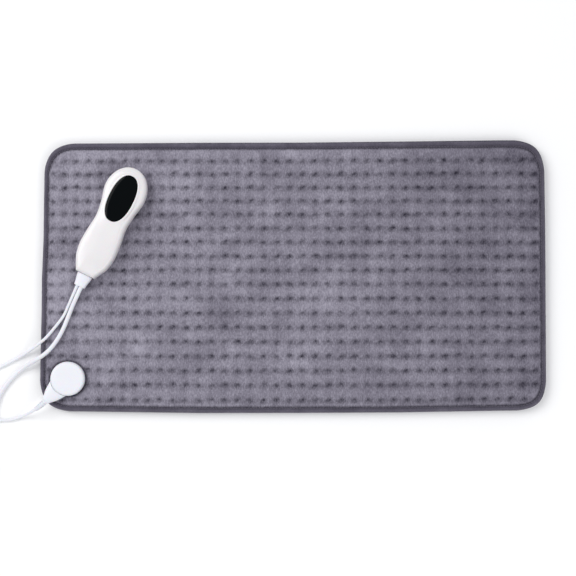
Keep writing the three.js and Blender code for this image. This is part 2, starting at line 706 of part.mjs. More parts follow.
function addElectronics() {
  const top = BOARD_Z + BOARD_T + GAP; // where what is on the board stands
  const lensUnderside = HANDSET_HEIGHT - LENS_T;
  add("display_lens", atLens(slab(lensOval(0), lensUnderside, HANDSET_HEIGHT + 0.2)), LENS, handset);

  const outline = handsetBody([[4.5, BOARD_Z], [4.5, BOARD_Z + BOARD_T]]);
  const trim = block(-30, 30, CORD_END_Y, CLAMP_Y + 8, 0, 20);
  const notches = HOUSING_SCREWS.map(([x, y]) => disc(SCREW_R + 1.9, 0, 20, x, y, 12));
  add("circuit_board", cut(outline, trim, ...notches), BOARD, handset);

  const [guideX, guideY] = [10, 15];
  const [digitX, digitY] = [7.5, 12];
  const guideOuter = block(-guideX, guideX, -guideY, guideY, top, lensUnderside - GAP);
  const guideHole = block(-digitX - GAP, digitX + GAP, -digitY - GAP, digitY + GAP, 0, 30);
  add("light_guide_frame", atLens(cut(guideOuter, guideHole)), BLACK, handset);
  add("digit_display", atLens(block(-digitX, digitX, -digitY, digitY, top, top + 4)), DIFFUSER, handset);
  [-1, 1].forEach((side, i) => {
    const spring = cut(disc(3, top, lensUnderside - GAP, 0, 0, 12), disc(2.3, 0, 30, 0, 0, 12));
    add(`touch_spring_${i + 1}`, atLens(spring.translate(0, side * (guideY + 4.5), 0)), NICKEL, handset);
  });
  add("triac", block(-13, -3, -20, -15.5, top, top + 5.8), BLACK, handset);
  add("film_capacitor", block(1, 13, -38, -24, top, top + 5.5), AMBER, handset);
  add("microcontroller", block(1, 9, -16, -8, top, top + 1.4), BLACK, handset);
  const fuse = disc(2.4, -40, -26, 0, 0, 12).rotateX(-Math.PI / 2).translate(-8, 0, top + 2.4);
  add("fuse", fuse, DIFFUSER, handset);
}

function addBootAndClamp() {
  const out = [
    sectionAcrossX(GAP, BOOT_HALF_START, 5.2),
    sectionAcrossX(BOOT_LENGTH / 2, 0.9 * BOOT_HALF_START, 4.9),
    sectionAcrossX(BOOT_LENGTH, BOOT_HALF_END, 4.2),
  ];
  const neck = block(-6, 1, -7.2, 7.2, -4, 4);
  const flange = block(-5, -3, -8.9, 8.9, -4.6, 4.6);
  const bore = (y, d) =>
    disc(d / 2 + GAP, -10, BOOT_LENGTH + 1, 0, 0, 16).rotateY(Math.PI / 2).translate(0, y, 0);
  const boot = cut(join(loft(out), neck, flange), bore(LEAD_EXIT_X, LEAD_D), bore(MAINS_EXIT_X, MAINS_D));
  boot.rotateZ(-Math.PI / 2).translate(0, CORD_END_Y, CORD_EXIT_Z);
  add("cable_boot", boot, WHITE_PVC, handset);

  const clampZ = CORD_EXIT_Z + MAINS_D / 2 + GAP;
  const reach = CLAMP_SCREWS[1] + 3;
  const bar = block(-reach, reach, CLAMP_Y - 3, CLAMP_Y + 3, clampZ, clampZ + 2);
  const feet = CLAMP_SCREWS.map((x) => disc(2.9, CORD_EXIT_Z + 1 + GAP, clampZ + 1, x, CLAMP_Y, 12));
  const bores = CLAMP_SCREWS.map((x) => disc(SCREW_R + GAP, 0, 20, x, CLAMP_Y, 8));
  add("cord_clamp", cut(join(bar, ...feet), ...bores), WHITE_PVC, handset);
  CLAMP_SCREWS.forEach((x, i) => {
    const down = screw(0, 9).rotateX(Math.PI).translate(x, CLAMP_Y, clampZ + 2 + GAP + SCREW_HEAD_T);
    add(`clamp_screw_${i + 1}`, down, NICKEL, handset);
  });
}

// ---- Cords ----
// Each list runs along the middle of the cord, in the part's frame.
const LEAD_FROM_HANDSET = [
  [-241.9, 17.4, 19.7],
  [-249.1, 2.65, 19.7],
  [-256.3, -12.1, 19.7],
  [-257.7, -15, 19.6],
  [-260, -20, 18.6],
  [-263.6, -27.6, 16.4],
  [-267.5, -36.2, 14.8],
  [-272.6, -47.4, 14.6],
  [-285, -64, 14.6],
  [-294, -74.4, 14.5],
  [-301.5, -80.4, 12.6],
  [-309, -85.6, 9],
  [-316.8, -90.5, 5.4],
  [-325, -95.4, 2.9],
  [-334, -100.2, 2],
  [-350.1, -108.4, 1.9],
  [-368, -115, 1.9],
  [-387.7, -122.3, 2.4],
];
const LEAD_TO_PLUG = [
  [-377.4, -173, 5],
  [-366, -172.8, 2.3],
  [-358, -172.1, 1.9],
  [-350.1, -171.4, 1.9],
  [-342.5, -171.3, 1.9],
  [-334, -170.3, 1.95],
  [-328, -168.6, 2.5],
  [-322, -166.4, 4.2],
  [-316, -163.9, 7.2],
  [-310.4, -161.3, 10.8],
  [-305.2, -158.5, 13.7],
];
const MAINS_FROM_HANDSET = [
  [-237.4, 15.2, 19.7],
  [-244.6, 0.45, 19.7],
  [-251.8, -14.3, 19.7],
  [-253.3, -17.3, 19.65],
  [-255.4, -21.7, 18.9],
  [-258.9, -29, 17.2],
  [-262.4, -36.6, 15.8],
  [-266.7, -47.6, 15.4],
  [-272.5, -62.3, 15.4],
  [-278.5, -73.9, 15.5],
  [-287.6, -86.6, 15.6],
  [-296, -94.2, 14.9],
  [-304.2, -99.2, 12.6],
  [-312.6, -103.9, 8.8],
  [-320, -108.3, 5.4],
  [-326.6, -113, 3.4],
  [-332.6, -118.6, 2.7],
  [-338.4, -124.9, 2.65],
  [-345.6, -134.3, 2.65],
  [-350.2, -142.9, 2.8],
  [-353.6, -151.4, 3.9],
  [-356.2, -159.8, 5.6],
  [-357.6, -167.3, 6.7],
  [-358.4, -173, 6.9],
  [-358.9, -179, 6.6],
  [-359.2, -187, 5.2],
  [-359.2, -195, 4.2],
  [-359.1, -202.6, 3.9],
];
const MAINS_TO_PLUG = [
  [-433, -202.4, 8.2],
  [-434.3, -194.6, 7.3],
  [-436.2, -187, 6.85],
  [-437.5, -182.9, 6.8],
  [-438.44, -177.34, 6.8],
];

function coilSection({ d, across, high }) {
  const spacing = d + 0.15;
  return { halfWidth: (across * spacing + 0.2) / 2, height: high * spacing };
}

function addCoil(name, coil, tieAngle) {
  const { halfWidth, height } = coilSection(coil);
  const z0 = TIE_T + GAP;
  const [inner, outer] = [coil.r - halfWidth, coil.r + halfWidth];
  const bevel = 0.25 * height;
  const ring = turned(
    [
      [inner, z0 + bevel],
      [inner + bevel, z0],
      [outer - bevel, z0],
      [outer, z0 + bevel],
      [outer, z0 + height - bevel],
      [outer - bevel, z0 + height],
      [inner + bevel, z0 + height],
      [inner, z0 + height - bevel],
      [inner, z0 + bevel],
    ],
    COIL_SIDES,
  );
  add(`${name}_coil`, ring.translate(coil.x, coil.y, 0), WHITE_PVC);

  const innerFlat = Math.sqrt(inner ** 2 - TIE_WIDTH ** 2 / 4) * Math.cos(Math.PI / COIL_SIDES);
  const [low, high] = [innerFlat - GAP - TIE_T, outer + GAP + TIE_T];
  const band = block(low, high, -TIE_WIDTH / 2, TIE_WIDTH / 2, 0, z0 + height + GAP + TIE_T);
  const room = block(low + TIE_T, high - TIE_T, -TIE_WIDTH, TIE_WIDTH, TIE_T, z0 + height + GAP);
  const tie = cut(band, room).rotateZ(THREE.MathUtils.degToRad(tieAngle));
  add(`${name}_tie`, tie.translate(coil.x, coil.y, 0), BLACK);
}

// ---- Flat two-pin mains plug, in a group whose +X is the way it goes into the wall ----
function addMainsPlug() {
  const group = new THREE.Group();
  group.position.set(MAINS_PLUG.x, MAINS_PLUG.y, PLUG_BODY_HALF_HEIGHT);
  group.rotation.z = THREE.MathUtils.degToRad(MAINS_PLUG.turn);
  part.add(group);
  const start = PLUG_RELIEF_LENGTH;
  const end = start + PLUG_BODY_LENGTH;
  const wide = PLUG_BODY_HALF_WIDTH;
  const tall = PLUG_BODY_HALF_HEIGHT;
  const bodySections = [
    sectionAcrossX(start + GAP, 0.36 * wide, 0.8 * tall),
    sectionAcrossX(start + 0.22 * PLUG_BODY_LENGTH, 0.62 * wide, tall),
    sectionAcrossX(start + 0.5 * PLUG_BODY_LENGTH, wide, tall),
    sectionAcrossX(end - 4, wide, tall),
    sectionAcrossX(end, 0.8 * wide, 0.85 * tall),
  ];
  const shankR = PIN_R - 1;
  const bore = (y) => disc(shankR + GAP, end - 8, end + 1, 0, 0, 10).rotateY(Math.PI / 2).translate(0, y, 0);
  const sides = [-PIN_SPACING / 2, PIN_SPACING / 2];
  add("mains_plug_body", cut(loft(bodySections), ...sides.map(bore)), WHITE_PVC, group);
  const relief = bentCone(
    smoothPath([[GAP, 0, 0], [start / 2, 0, 0], [start, 0, 0]]),
    [0.62, 0.6, 0.72, 0.62, 0.8, 0.66, 0.9, 0.7, 1].map((share) => share * 0.6 * tall),
  );
  add("mains_plug_relief", relief, WHITE_PVC, group);
  const sleeveEnd = end + GAP + PIN_SLEEVE_LENGTH;
  sides.forEach((y, i) => {
    const pin = turnedAlongX(
      [
        [0, end - 7.5],
        [shankR, end - 7.5],
        [shankR, sleeveEnd + GAP],
        [PIN_R, sleeveEnd + GAP],
        [PIN_R, end + PIN_LENGTH - 1],
        [PIN_R - 0.8, end + PIN_LENGTH],
        [0, end + PIN_LENGTH],
      ],
      12,
    );
    add(`mains_pin_${i + 1}`, pin.translate(0, y, 0), NICKEL, group);
    const sleeve = cut(disc(PIN_R, end + GAP, sleeveEnd), disc(shankR + GAP, end, sleeveEnd + 1));
    add(`mains_pin_sleeve_${i + 1}`, sleeve.rotateY(Math.PI / 2).translate(0, y, 0), BLACK, group);
  });
}

function addCords() {
  add("pad_lead_near", cordTube(LEAD_FROM_HANDSET, LEAD_D), WHITE_PVC);
  add("pad_lead_far", cordTube(LEAD_TO_PLUG, LEAD_D), WHITE_PVC);
  addCoil("pad_lead", LEAD_COIL, 150);
  add("mains_lead_near", cordTube(MAINS_FROM_HANDSET, MAINS_D), WHITE_PVC);
  add("mains_lead_far", cordTube(MAINS_TO_PLUG, MAINS_D), WHITE_PVC);
  addCoil("mains_lead", MAINS_COIL, 60);
}

addCovers();
addBinding();
addInnerLayers();
addHeatingWire();
addSocket();
addConnectorPlug();
addHandsetShells();
addElectronics();
addBootAndClamp();
addCords();
addMainsPlug();

export default part;
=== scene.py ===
# %% [markdown]
# # An electric heating pad, its hand controller and its two leads
# The real object is a plush pad sixty centimetres long, with wire inside it. A round connector at one
# corner takes the lead of a waisted hand controller. The CAD model already holds every solid part at its
# true size. This lesson loads that frame and dresses it: cloth, moulded plastic, leads and metal.

# %% Load the frame and keep its box
import json
import math
import random

import bpy
import numpy as np
from mathutils import Matrix, Vector, noise


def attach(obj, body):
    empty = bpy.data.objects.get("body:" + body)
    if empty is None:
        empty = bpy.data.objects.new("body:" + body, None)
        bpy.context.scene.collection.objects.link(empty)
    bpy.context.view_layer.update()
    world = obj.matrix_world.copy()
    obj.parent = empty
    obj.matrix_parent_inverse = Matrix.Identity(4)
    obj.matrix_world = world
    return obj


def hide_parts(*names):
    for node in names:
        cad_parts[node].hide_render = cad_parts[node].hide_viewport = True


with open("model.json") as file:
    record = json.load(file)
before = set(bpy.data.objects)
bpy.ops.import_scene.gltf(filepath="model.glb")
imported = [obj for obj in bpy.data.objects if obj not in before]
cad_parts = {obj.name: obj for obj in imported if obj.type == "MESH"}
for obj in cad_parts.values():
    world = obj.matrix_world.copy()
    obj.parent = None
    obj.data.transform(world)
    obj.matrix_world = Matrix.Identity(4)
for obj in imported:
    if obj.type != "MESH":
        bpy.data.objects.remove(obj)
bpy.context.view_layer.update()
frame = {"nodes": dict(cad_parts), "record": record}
MM = 0.001
PAD, CONTROLS = "pad", "control_set"
node_slot = {row["node"]: row["material_slot"] for row in frame["record"]["subparts"]}

# %% [markdown]
# ## Camera, light and floor
# The pad is seen from almost straight above, from far enough away that its long sides stay parallel. A
# long lens does that. The light is what a catalogue uses: a wide soft source high on the left, a weaker one
# on the right, and a white floor that throws light back. Neither source stands where the glossy lens would
# mirror it.

# %% Camera
LOOK_AT = Vector((-0.007, -0.0143, 0.008))
camera_data = bpy.data.cameras.new("camera")
camera_data.lens = 85
camera_data.sensor_width = 36
camera = bpy.data.objects.new("camera", camera_data)
camera.location = (-0.007, -0.1347, 1.6235)
camera.rotation_euler = (LOOK_AT - camera.location).to_track_quat("-Z", "Y").to_euler()
bpy.context.scene.collection.objects.link(camera)
bpy.context.scene.camera = camera
print("camera", round((camera.location - LOOK_AT).length, 3), "m from the pad")


# %% Colours and nodes
def linear(hex_colour):
    """An sRGB hex colour as the linear values that a socket takes."""
    parts = [int(hex_colour[i : i + 2], 16) / 255 for i in (1, 3, 5)]
    return tuple(c / 12.92 if c <= 0.04045 else ((c + 0.055) / 1.055) ** 2.4 for c in parts) + (1.0,)


def add_node(tree, kind, inputs=None, **settings):
    """Adds a node. Inputs are values, or other nodes' outputs, by socket name or number."""
    node = tree.nodes.new(kind)
    for name, value in settings.items():
        setattr(node, name, value)
    for key, value in (inputs or {}).items():
        if isinstance(value, bpy.types.NodeSocket):
            tree.links.new(value, node.inputs[key])
        else:
            node.inputs[key].default_value = value
    return node


print("half grey in linear light:", round(linear("#808080")[0], 3))


# %% Light and floor
def soft_light(name, place, size, power, tint="#FFFFFF"):
    data = bpy.data.lights.new(name, "AREA")
    data.shape, data.size, data.energy = "DISK", size, power
    data.color = linear(tint)[:3]
    light = bpy.data.objects.new(name, data)
    light.location = place
    light.rotation_euler = (-Vector(place)).to_track_quat("-Z", "Y").to_euler()
    bpy.context.scene.collection.objects.link(light)


soft_light("left_window", (-1.5, 0.8, 1.9), 1.8, 30)
soft_light("right_fill", (1.3, -1.4, 1.8), 1.8, 17)

world = bpy.data.worlds.new("studio")
world.use_nodes = True
world.node_tree.nodes["Background"].inputs["Color"].default_value = linear("#F6F7FA")
world.node_tree.nodes["Background"].inputs["Strength"].default_value = 0.66
bpy.context.scene.world = world
bpy.context.scene.view_settings.view_transform = "Standard"  # keeps white paper white


# %% A material, and the floor
def new_material(name, colour, **shader):
    """A Principled material: colour is a hex value, and shader holds sockets, with _ for a space."""
    material = bpy.data.materials.new(name)
    material.use_nodes = True
    surface = material.node_tree.nodes["Principled BSDF"]
    surface.inputs["Base Color"].default_value = linear(colour)
    for socket, value in shader.items():
        surface.inputs[socket.replace("_", " ")].default_value = value
    return material, material.node_tree, surface


floor_finish, _, _ = new_material("pale_paper_floor", "#FCFCFC", Roughness=0.9)
floor_mesh = bpy.data.meshes.new("floor")
floor_mesh.from_pydata([(x, y, -0.0004) for x, y in ((-6, -6), (6, -6), (6, 6), (-6, 6))], [], [(0, 1, 2, 3)])
floor_mesh.materials.append(floor_finish)
floor = bpy.data.objects.new("floor", floor_mesh)
bpy.context.scene.collection.objects.link(floor)
print("floor:", tuple(round(v, 1) for v in floor.dimensions[:2]), "m")

# %% [markdown]
# ## Building meshes from rings
# A lead, a moulded grip and a folded tape have one thing in common: a closed outline that travels. One
# helper skins a stack of rings, and another carries a round ring along a line. Rings give clean quads,
# which take smooth shading well, and every skin here is closed so that it is a solid.


# %% Skins, tubes and smooth lines
def place_piece(name, vertices, faces, material, crease=35):
    """A mesh object at the origin, smooth shaded except where faces meet at more than crease degrees."""
    mesh = bpy.data.meshes.new(name)
    mesh.from_pydata([tuple(v) for v in vertices], [], [tuple(f) for f in faces])
    mesh.materials.append(material)
    mesh.shade_smooth()
    mesh.set_sharp_from_angle(angle=math.radians(crease))
    piece = bpy.data.objects.new(name, mesh)
    bpy.context.scene.collection.objects.link(piece)
    return piece


def solid_from(source, name):
    """A plain mesh object of what another object's modifiers make."""
    bpy.context.view_layer.update()
    mesh = bpy.data.meshes.new_from_object(source.evaluated_get(bpy.context.evaluated_depsgraph_get()))
    mesh.name = name
    piece = bpy.data.objects.new(name, mesh)
    bpy.context.scene.collection.objects.link(piece)
    return piece


def skin(rings, closed=False):
    """Vertices and outward faces of a skin over rings, each an array of points that turns the same way."""
    rings = np.asarray(rings, float)
    count, sides = rings.shape[:2]
    vertices = rings.reshape(-1, 3)
    a = np.arange(count if closed else count - 1)[:, None] * sides + np.arange(sides)[None, :]
    step = np.arange(sides)
    b = a - step[None, :] + (step[None, :] + 1) % sides
    upper = (a + sides) % (count * sides)
    upper_b = (b + sides) % (count * sides)
    faces = np.stack([a, b, upper_b, upper], -1).reshape(-1, 4).tolist()
    if not closed:
        faces += [list(range(sides))[::-1], list(range((count - 1) * sides, count * sides))]
    fans = np.array([(f[0], f[k], f[k + 1]) for f in faces for k in range(1, len(f) - 1)])
    p, q, r = (vertices[fans[:, k]] - vertices.mean(0) for k in range(3))
    volume = np.einsum("ij,ij->", p, np.cross(q, r))
    return vertices, (faces if volume > 0 else [f[::-1] for f in faces])


print("a skin over two rings of 8 has", len(skin(np.zeros((2, 8, 3)))[1]), "faces")


# %% Smooth lines
def smooth_line(points, step):
    """Points about step apart along a centripetal spline, the same curve as the CAD model's."""
    p = [np.asarray(q, float) for q in points]
    p = [2 * p[0] - p[1], *p, 2 * p[-1] - p[-2]]
    line = []
    for p0, p1, p2, p3 in zip(p, p[1:], p[2:], p[3:]):
        d0, d1, d2 = (max(np.linalg.norm(b - a) ** 0.5, 1e-6) for a, b in ((p0, p1), (p1, p2), (p2, p3)))
        t1 = ((p1 - p0) / d0 - (p2 - p0) / (d0 + d1) + (p2 - p1) / d1) * d1
        t2 = ((p2 - p1) / d1 - (p3 - p1) / (d1 + d2) + (p3 - p2) / d2) * d1
        for t in np.linspace(0, 1, 24, endpoint=False):
            blend = (2 * t**3 - 3 * t**2 + 1, t**3 - 2 * t**2 + t, 3 * t**2 - 2 * t**3, t**3 - t**2)
            line.append(blend[0] * p1 + blend[1] * t1 + blend[2] * p2 + blend[3] * t2)
    return even_line(np.array([*line, p[-2]]), step)


def even_line(line, step):
    travelled = np.r_[0, np.cumsum(np.linalg.norm(np.diff(line, axis=0), axis=1))]
    at = np.linspace(0, travelled[-1], max(2, round(travelled[-1] / step) + 1))
    return np.stack([np.interp(at, travelled, line[:, i]) for i in range(3)], 1)


def line_length(line):
    return float(np.linalg.norm(np.diff(line, axis=0), axis=1).sum())


print("a 30 mm line at 2 mm has", len(even_line(np.array([(0, 0, 0), (30.0, 0, 0)]), 2)), "points")


# %% Tubes
def carried_frames(line):
    """A pair of unit vectors across the line at each point, carried along it without twisting."""
    tangents = np.gradient(line, axis=0)
    tangents /= np.linalg.norm(tangents, axis=1)[:, None]
    side = np.cross(tangents[0], (0, 0, 1) if abs(tangents[0][2]) < 0.9 else (1, 0, 0))
    sides = []
    for tangent in tangents:
        side = side - tangent * (side @ tangent)
        side /= np.linalg.norm(side)
        sides.append(side)
    sides = np.array(sides)
    return sides, np.cross(tangents, sides)


def round_rings(line, radii, sides):
    across, up = carried_frames(line)
    turn = np.linspace(0, 2 * math.pi, sides, endpoint=False)
    radii = np.broadcast_to(np.asarray(radii, float), len(line))[:, None, None]
    ring = np.cos(turn)[None, :, None] * across[:, None] + np.sin(turn)[None, :, None] * up[:, None]
    return line[:, None] + radii * ring


def tube_piece(name, line, radii, material, sides=14):
    return place_piece(name, *skin(round_rings(line, radii, sides)), material)


print("a tube with 14 sides has rings of shape", round_rings(np.eye(3)[:2], 1, 14).shape)

# %% [markdown]
# ## White PVC
# Leads, connector and boots are soft PVC, injected round the wire at low gloss. PVC lets a little light
# in, so a white lead has no hard shadow edge. The mould leaves a faint orange peel about half a
# millimetre across, drawn here at one millimetre so that it shows. A flat colour would look like paper, so
# one noise clouds the tone a little and a finer one gives the bump.


# %% Moulded plastics
def moulded(name, colour, grain_mm, grain_depth, **shader):
    """A moulded plastic: an even colour that clouds very slightly, and an orange-peel surface."""
    material, tree, surface = new_material(name, colour, **shader)
    where = add_node(tree, "ShaderNodeTexCoord").outputs["Object"]
    cloud = add_node(tree, "ShaderNodeTexNoise", {"Vector": where, "Scale": 35, "Detail": 2})
    tone = linear(colour)
    shade = tuple(0.9 * c for c in tone[:3]) + (1.0,)
    mix = add_node(
        tree, "ShaderNodeMix", {0: cloud.outputs["Fac"], 6: tone, 7: shade}, data_type="RGBA"
    )
    tree.links.new(mix.outputs[2], surface.inputs["Base Color"])
    peel = add_node(tree, "ShaderNodeTexNoise", {"Vector": where, "Scale": 1000 / grain_mm, "Detail": 3})
    bump = add_node(
        tree,
        "ShaderNodeBump",
        {"Height": peel.outputs["Fac"], "Strength": 0.5, "Distance": grain_depth * MM},
    )
    tree.links.new(bump.outputs["Normal"], surface.inputs["Normal"])
    return material


white_pvc = moulded(
    "injected_white_pvc", "#EBECF2", 1.0, 0.05,
    Roughness=0.42, IOR=1.53, Subsurface_Weight=0.12, Subsurface_Scale=0.002,
)
print(white_pvc.name, "has", len(white_pvc.node_tree.nodes), "nodes")

# %% [markdown]
# ## The two leads
# A thin lead joins the controller to the pad's connector, and a thicker one brings mains power. Both
# leave the boot side by side, drop over the pad's edge and rest on the floor. What isn't needed is wound
# into two neat coils under ties. A mesh tube that follows a line of points keeps its true length and
# thickness. The points are the CAD model's own, in millimetres.

# %% The routes
LEAD_D, MAINS_D = 3.6, 5.1
LEAD_COIL = {"centre": (-392, -149.5), "r": 21.6, "spacing": LEAD_D + 0.15, "across": 2}
MAINS_COIL = {"centre": (-396, -223), "r": 29, "spacing": MAINS_D + 0.15, "across": 4}
COIL_FLOOR = 1.2  # the ties' thickness under each coil
LEAD_FROM_HANDSET = [
    (-241.9, 17.4, 19.7), (-249.1, 2.65, 19.7), (-256.3, -12.1, 19.7), (-257.7, -15, 19.6),
    (-260, -20, 18.6), (-263.6, -27.6, 16.4), (-267.5, -36.2, 14.8), (-272.6, -47.4, 14.6),
    (-285, -64, 14.6), (-294, -74.4, 14.5), (-301.5, -80.4, 12.6), (-309, -85.6, 9),
    (-316.8, -90.5, 5.4), (-325, -95.4, 2.9), (-334, -100.2, 2), (-350.1, -108.4, 1.9),
    (-368, -115, 1.9), (-387.7, -122.3, 2.4),
]
LEAD_TO_PLUG = [
    (-377.4, -173, 5), (-366, -172.8, 2.3), (-358, -172.1, 1.9), (-350.1, -171.4, 1.9),
    (-342.5, -171.3, 1.9), (-334, -170.3, 1.95), (-328, -168.6, 2.5), (-322, -166.4, 4.2),
    (-316, -163.9, 7.2), (-310.4, -161.3, 10.8), (-305.2, -158.5, 13.7),
]
MAINS_FROM_HANDSET = [
    (-237.4, 15.2, 19.7), (-244.6, 0.45, 19.7), (-251.8, -14.3, 19.7), (-253.3, -17.3, 19.65),
    (-255.4, -21.7, 18.9), (-258.9, -29, 17.2), (-262.4, -36.6, 15.8), (-266.7, -47.6, 15.4),
    (-272.5, -62.3, 15.4), (-278.5, -73.9, 15.5), (-287.6, -86.6, 15.6), (-296, -94.2, 14.9),
    (-304.2, -99.2, 12.6), (-312.6, -103.9, 8.8), (-320, -108.3, 5.4), (-326.6, -113, 3.4),
    (-332.6, -118.6, 2.7), (-338.4, -124.9, 2.65), (-345.6, -134.3, 2.65), (-350.2, -142.9, 2.8),
    (-353.6, -151.4, 3.9), (-356.2, -159.8, 5.6), (-357.6, -167.3, 6.7), (-358.4, -173, 6.9),
    (-358.9, -179, 6.6), (-359.2, -187, 5.2), (-359.2, -195, 4.2), (-359.1, -202.6, 3.9),
]
MAINS_TO_PLUG = [
    (-433, -202.4, 8.2), (-434.3, -194.6, 7.3), (-436.2, -187, 6.85), (-437.5, -182.9, 6.8),
    (-438.44, -177.34, 6.8),
]
print("route points:", [len(r) for r in (LEAD_FROM_HANDSET, LEAD_TO_PLUG, MAINS_FROM_HANDSET, MAINS_TO_PLUG)])


# %% Coils
def coil_turns(coil, start, turn, slots):
    """Points of a coil from angle start, through turn degrees, that moves from slot to slot."""
    count = max(24, int(abs(turn) / 12))
    share = np.linspace(0, 1, count + 1)
    places = []
    for column, layer in slots:
        r = coil["r"] + ((coil["across"] - 1) / 2 - column) * coil["spacing"]
        places.append((r, COIL_FLOOR + coil["spacing"] * (layer + 0.5)))
    at = share * len(slots)
    slot_index = np.minimum(at.astype(int), len(slots) - 1)
    within = at - slot_index
    points = []
    for k in range(count + 1):
        here = np.array(places[slot_index[k]])
        after = np.array(places[min(slot_index[k] + 1, len(slots) - 1)])
        ease = np.clip((within[k] - 0.84) / 0.16, 0, 1)
        r, z = here + (after - here) * ease * ease * (3 - 2 * ease)
        angle = math.radians(start + turn * share[k])
        points.append((coil["centre"][0] + r * math.cos(angle), coil["centre"][1] + r * math.sin(angle), z))
    return points


lead_turns = coil_turns(LEAD_COIL, 112.6, 877.4, [(0, 0), (1, 0), (0, 1)])
mains_slots = [(c, 0) for c in range(4)] + [(c, 1) for c in reversed(range(4))]
mains_turns = coil_turns(MAINS_COIL, 0, -7.5 * 360, mains_slots)
print("coil points:", len(lead_turns), len(mains_turns))

# %% The two leads as tubes
lead_line = smooth_line([*LEAD_FROM_HANDSET, *lead_turns, *LEAD_TO_PLUG], 1.5) * MM
mains_line = smooth_line([*MAINS_FROM_HANDSET, *mains_turns, *MAINS_TO_PLUG], 2.0) * MM
pad_lead = tube_piece("pad_lead", lead_line, LEAD_D / 2 * MM, white_pvc, 12)
mains_lead = tube_piece("mains_lead", mains_line, MAINS_D / 2 * MM, white_pvc, 14)
print("pad lead", round(line_length(lead_line), 3), "m, mains lead", round(line_length(mains_line), 3), "m")

# %% [markdown]
# ## Finishes for the rest
# Each finish starts from what the real surface is. ABS shells are smoother than PVC and a little warmer.
# The lens is tinted acrylic with a polished face. Tape is a close satin weave whose ribs run along it.
# Plush is a knitted pile that catches light at a low angle, which sheen gives, and its pile leans in
# patches where hands have brushed it. Hidden parts get their real finishes too, because the model may be
# opened up.

# %% Shell, lens and small plastics
abs_shell = moulded(
    "polished_warm_white_abs", "#EAE7E8", 1.4, 0.02,
    Roughness=0.24, IOR=1.54, Subsurface_Weight=0.08, Subsurface_Scale=0.001, Coat_Weight=0.15,
)
black_nylon = moulded("moulded_black_nylon", "#17171A", 0.8, 0.05, Roughness=0.5, IOR=1.53)
milky_diffuser = moulded(
    "milky_polycarbonate", "#E6E7E4", 1.0, 0.03, Roughness=0.3, IOR=1.58, Subsurface_Weight=0.3,
)
amber_epoxy = moulded("potted_amber_epoxy", "#C4691E", 1.2, 0.06, Roughness=0.25, IOR=1.55)
silicone_jacket = moulded("silicone_wire_jacket", "#D8CFBC", 0.9, 0.06, Roughness=0.6, IOR=1.41)
lens_finish = moulded(
    "tinted_black_acrylic", "#030608", 2.5, 0.004,
    Roughness=0.06, IOR=1.49, Specular_IOR_Level=0.07,
)
plastics = (abs_shell, black_nylon, milky_diffuser, amber_epoxy, silicone_jacket, lens_finish)
print("plastics:", [plastic.name for plastic in plastics])


# %% Metals and the circuit board
def plated(name, colour, line_mm, roughness):
    """A plated or drawn metal: fine drawing lines round or along the part, and uneven polish."""
    material, tree, surface = new_material(name, colour, Metallic=1.0, Roughness=roughness)
    where = add_node(tree, "ShaderNodeTexCoord").outputs["Object"]
    stretch = add_node(
        tree, "ShaderNodeMapping", {"Vector": where, "Scale": (1000 / line_mm, 1000 / line_mm, 60)}
    )
    lines = add_node(tree, "ShaderNodeTexNoise", {"Vector": stretch.outputs[0], "Scale": 1.0, "Detail": 2})
    polish = add_node(
        tree,
        "ShaderNodeMapRange",
        {"Value": lines.outputs["Fac"], "To Min": roughness - 0.08, "To Max": roughness + 0.12},
    )
    tree.links.new(polish.outputs["Result"], surface.inputs["Roughness"])
    bump = add_node(
        tree, "ShaderNodeBump", {"Height": lines.outputs["Fac"], "Strength": 0.3, "Distance": 0.02 * MM}
    )
    tree.links.new(bump.outputs["Normal"], surface.inputs["Normal"])
    return material


nickel_plate = plated("bright_nickel_plate", "#C9C8C4", 0.3, 0.28)
contact_brass = plated("drawn_contact_brass", "#CDA75C", 0.3, 0.3)
print("metals:", nickel_plate.name, contact_brass.name)

# %% The circuit board
solder_mask, mask_tree, mask_surface = new_material(
    "green_solder_mask", "#1E5A39", Roughness=0.35, Coat_Weight=0.3
)
mask_where = add_node(mask_tree, "ShaderNodeTexCoord").outputs["Object"]
tracks = add_node(
    mask_tree,
    "ShaderNodeTexVoronoi",
    {"Vector": mask_where, "Scale": 260},
    feature="DISTANCE_TO_EDGE",
    distance="MANHATTAN",
)
track_edge = add_node(
    mask_tree, "ShaderNodeMapRange", {"Value": tracks.outputs["Distance"], "From Min": 0.06, "From Max": 0.1}
)
mask_mix = add_node(
    mask_tree,
    "ShaderNodeMix",
    {0: track_edge.outputs["Result"], 6: linear("#2F7A4C"), 7: linear("#1A4F33")},
    data_type="RGBA",
)
mask_tree.links.new(mask_mix.outputs[2], mask_surface.inputs["Base Color"])
print(solder_mask.name, "has tracks about", round(1000 / 260), "mm apart")


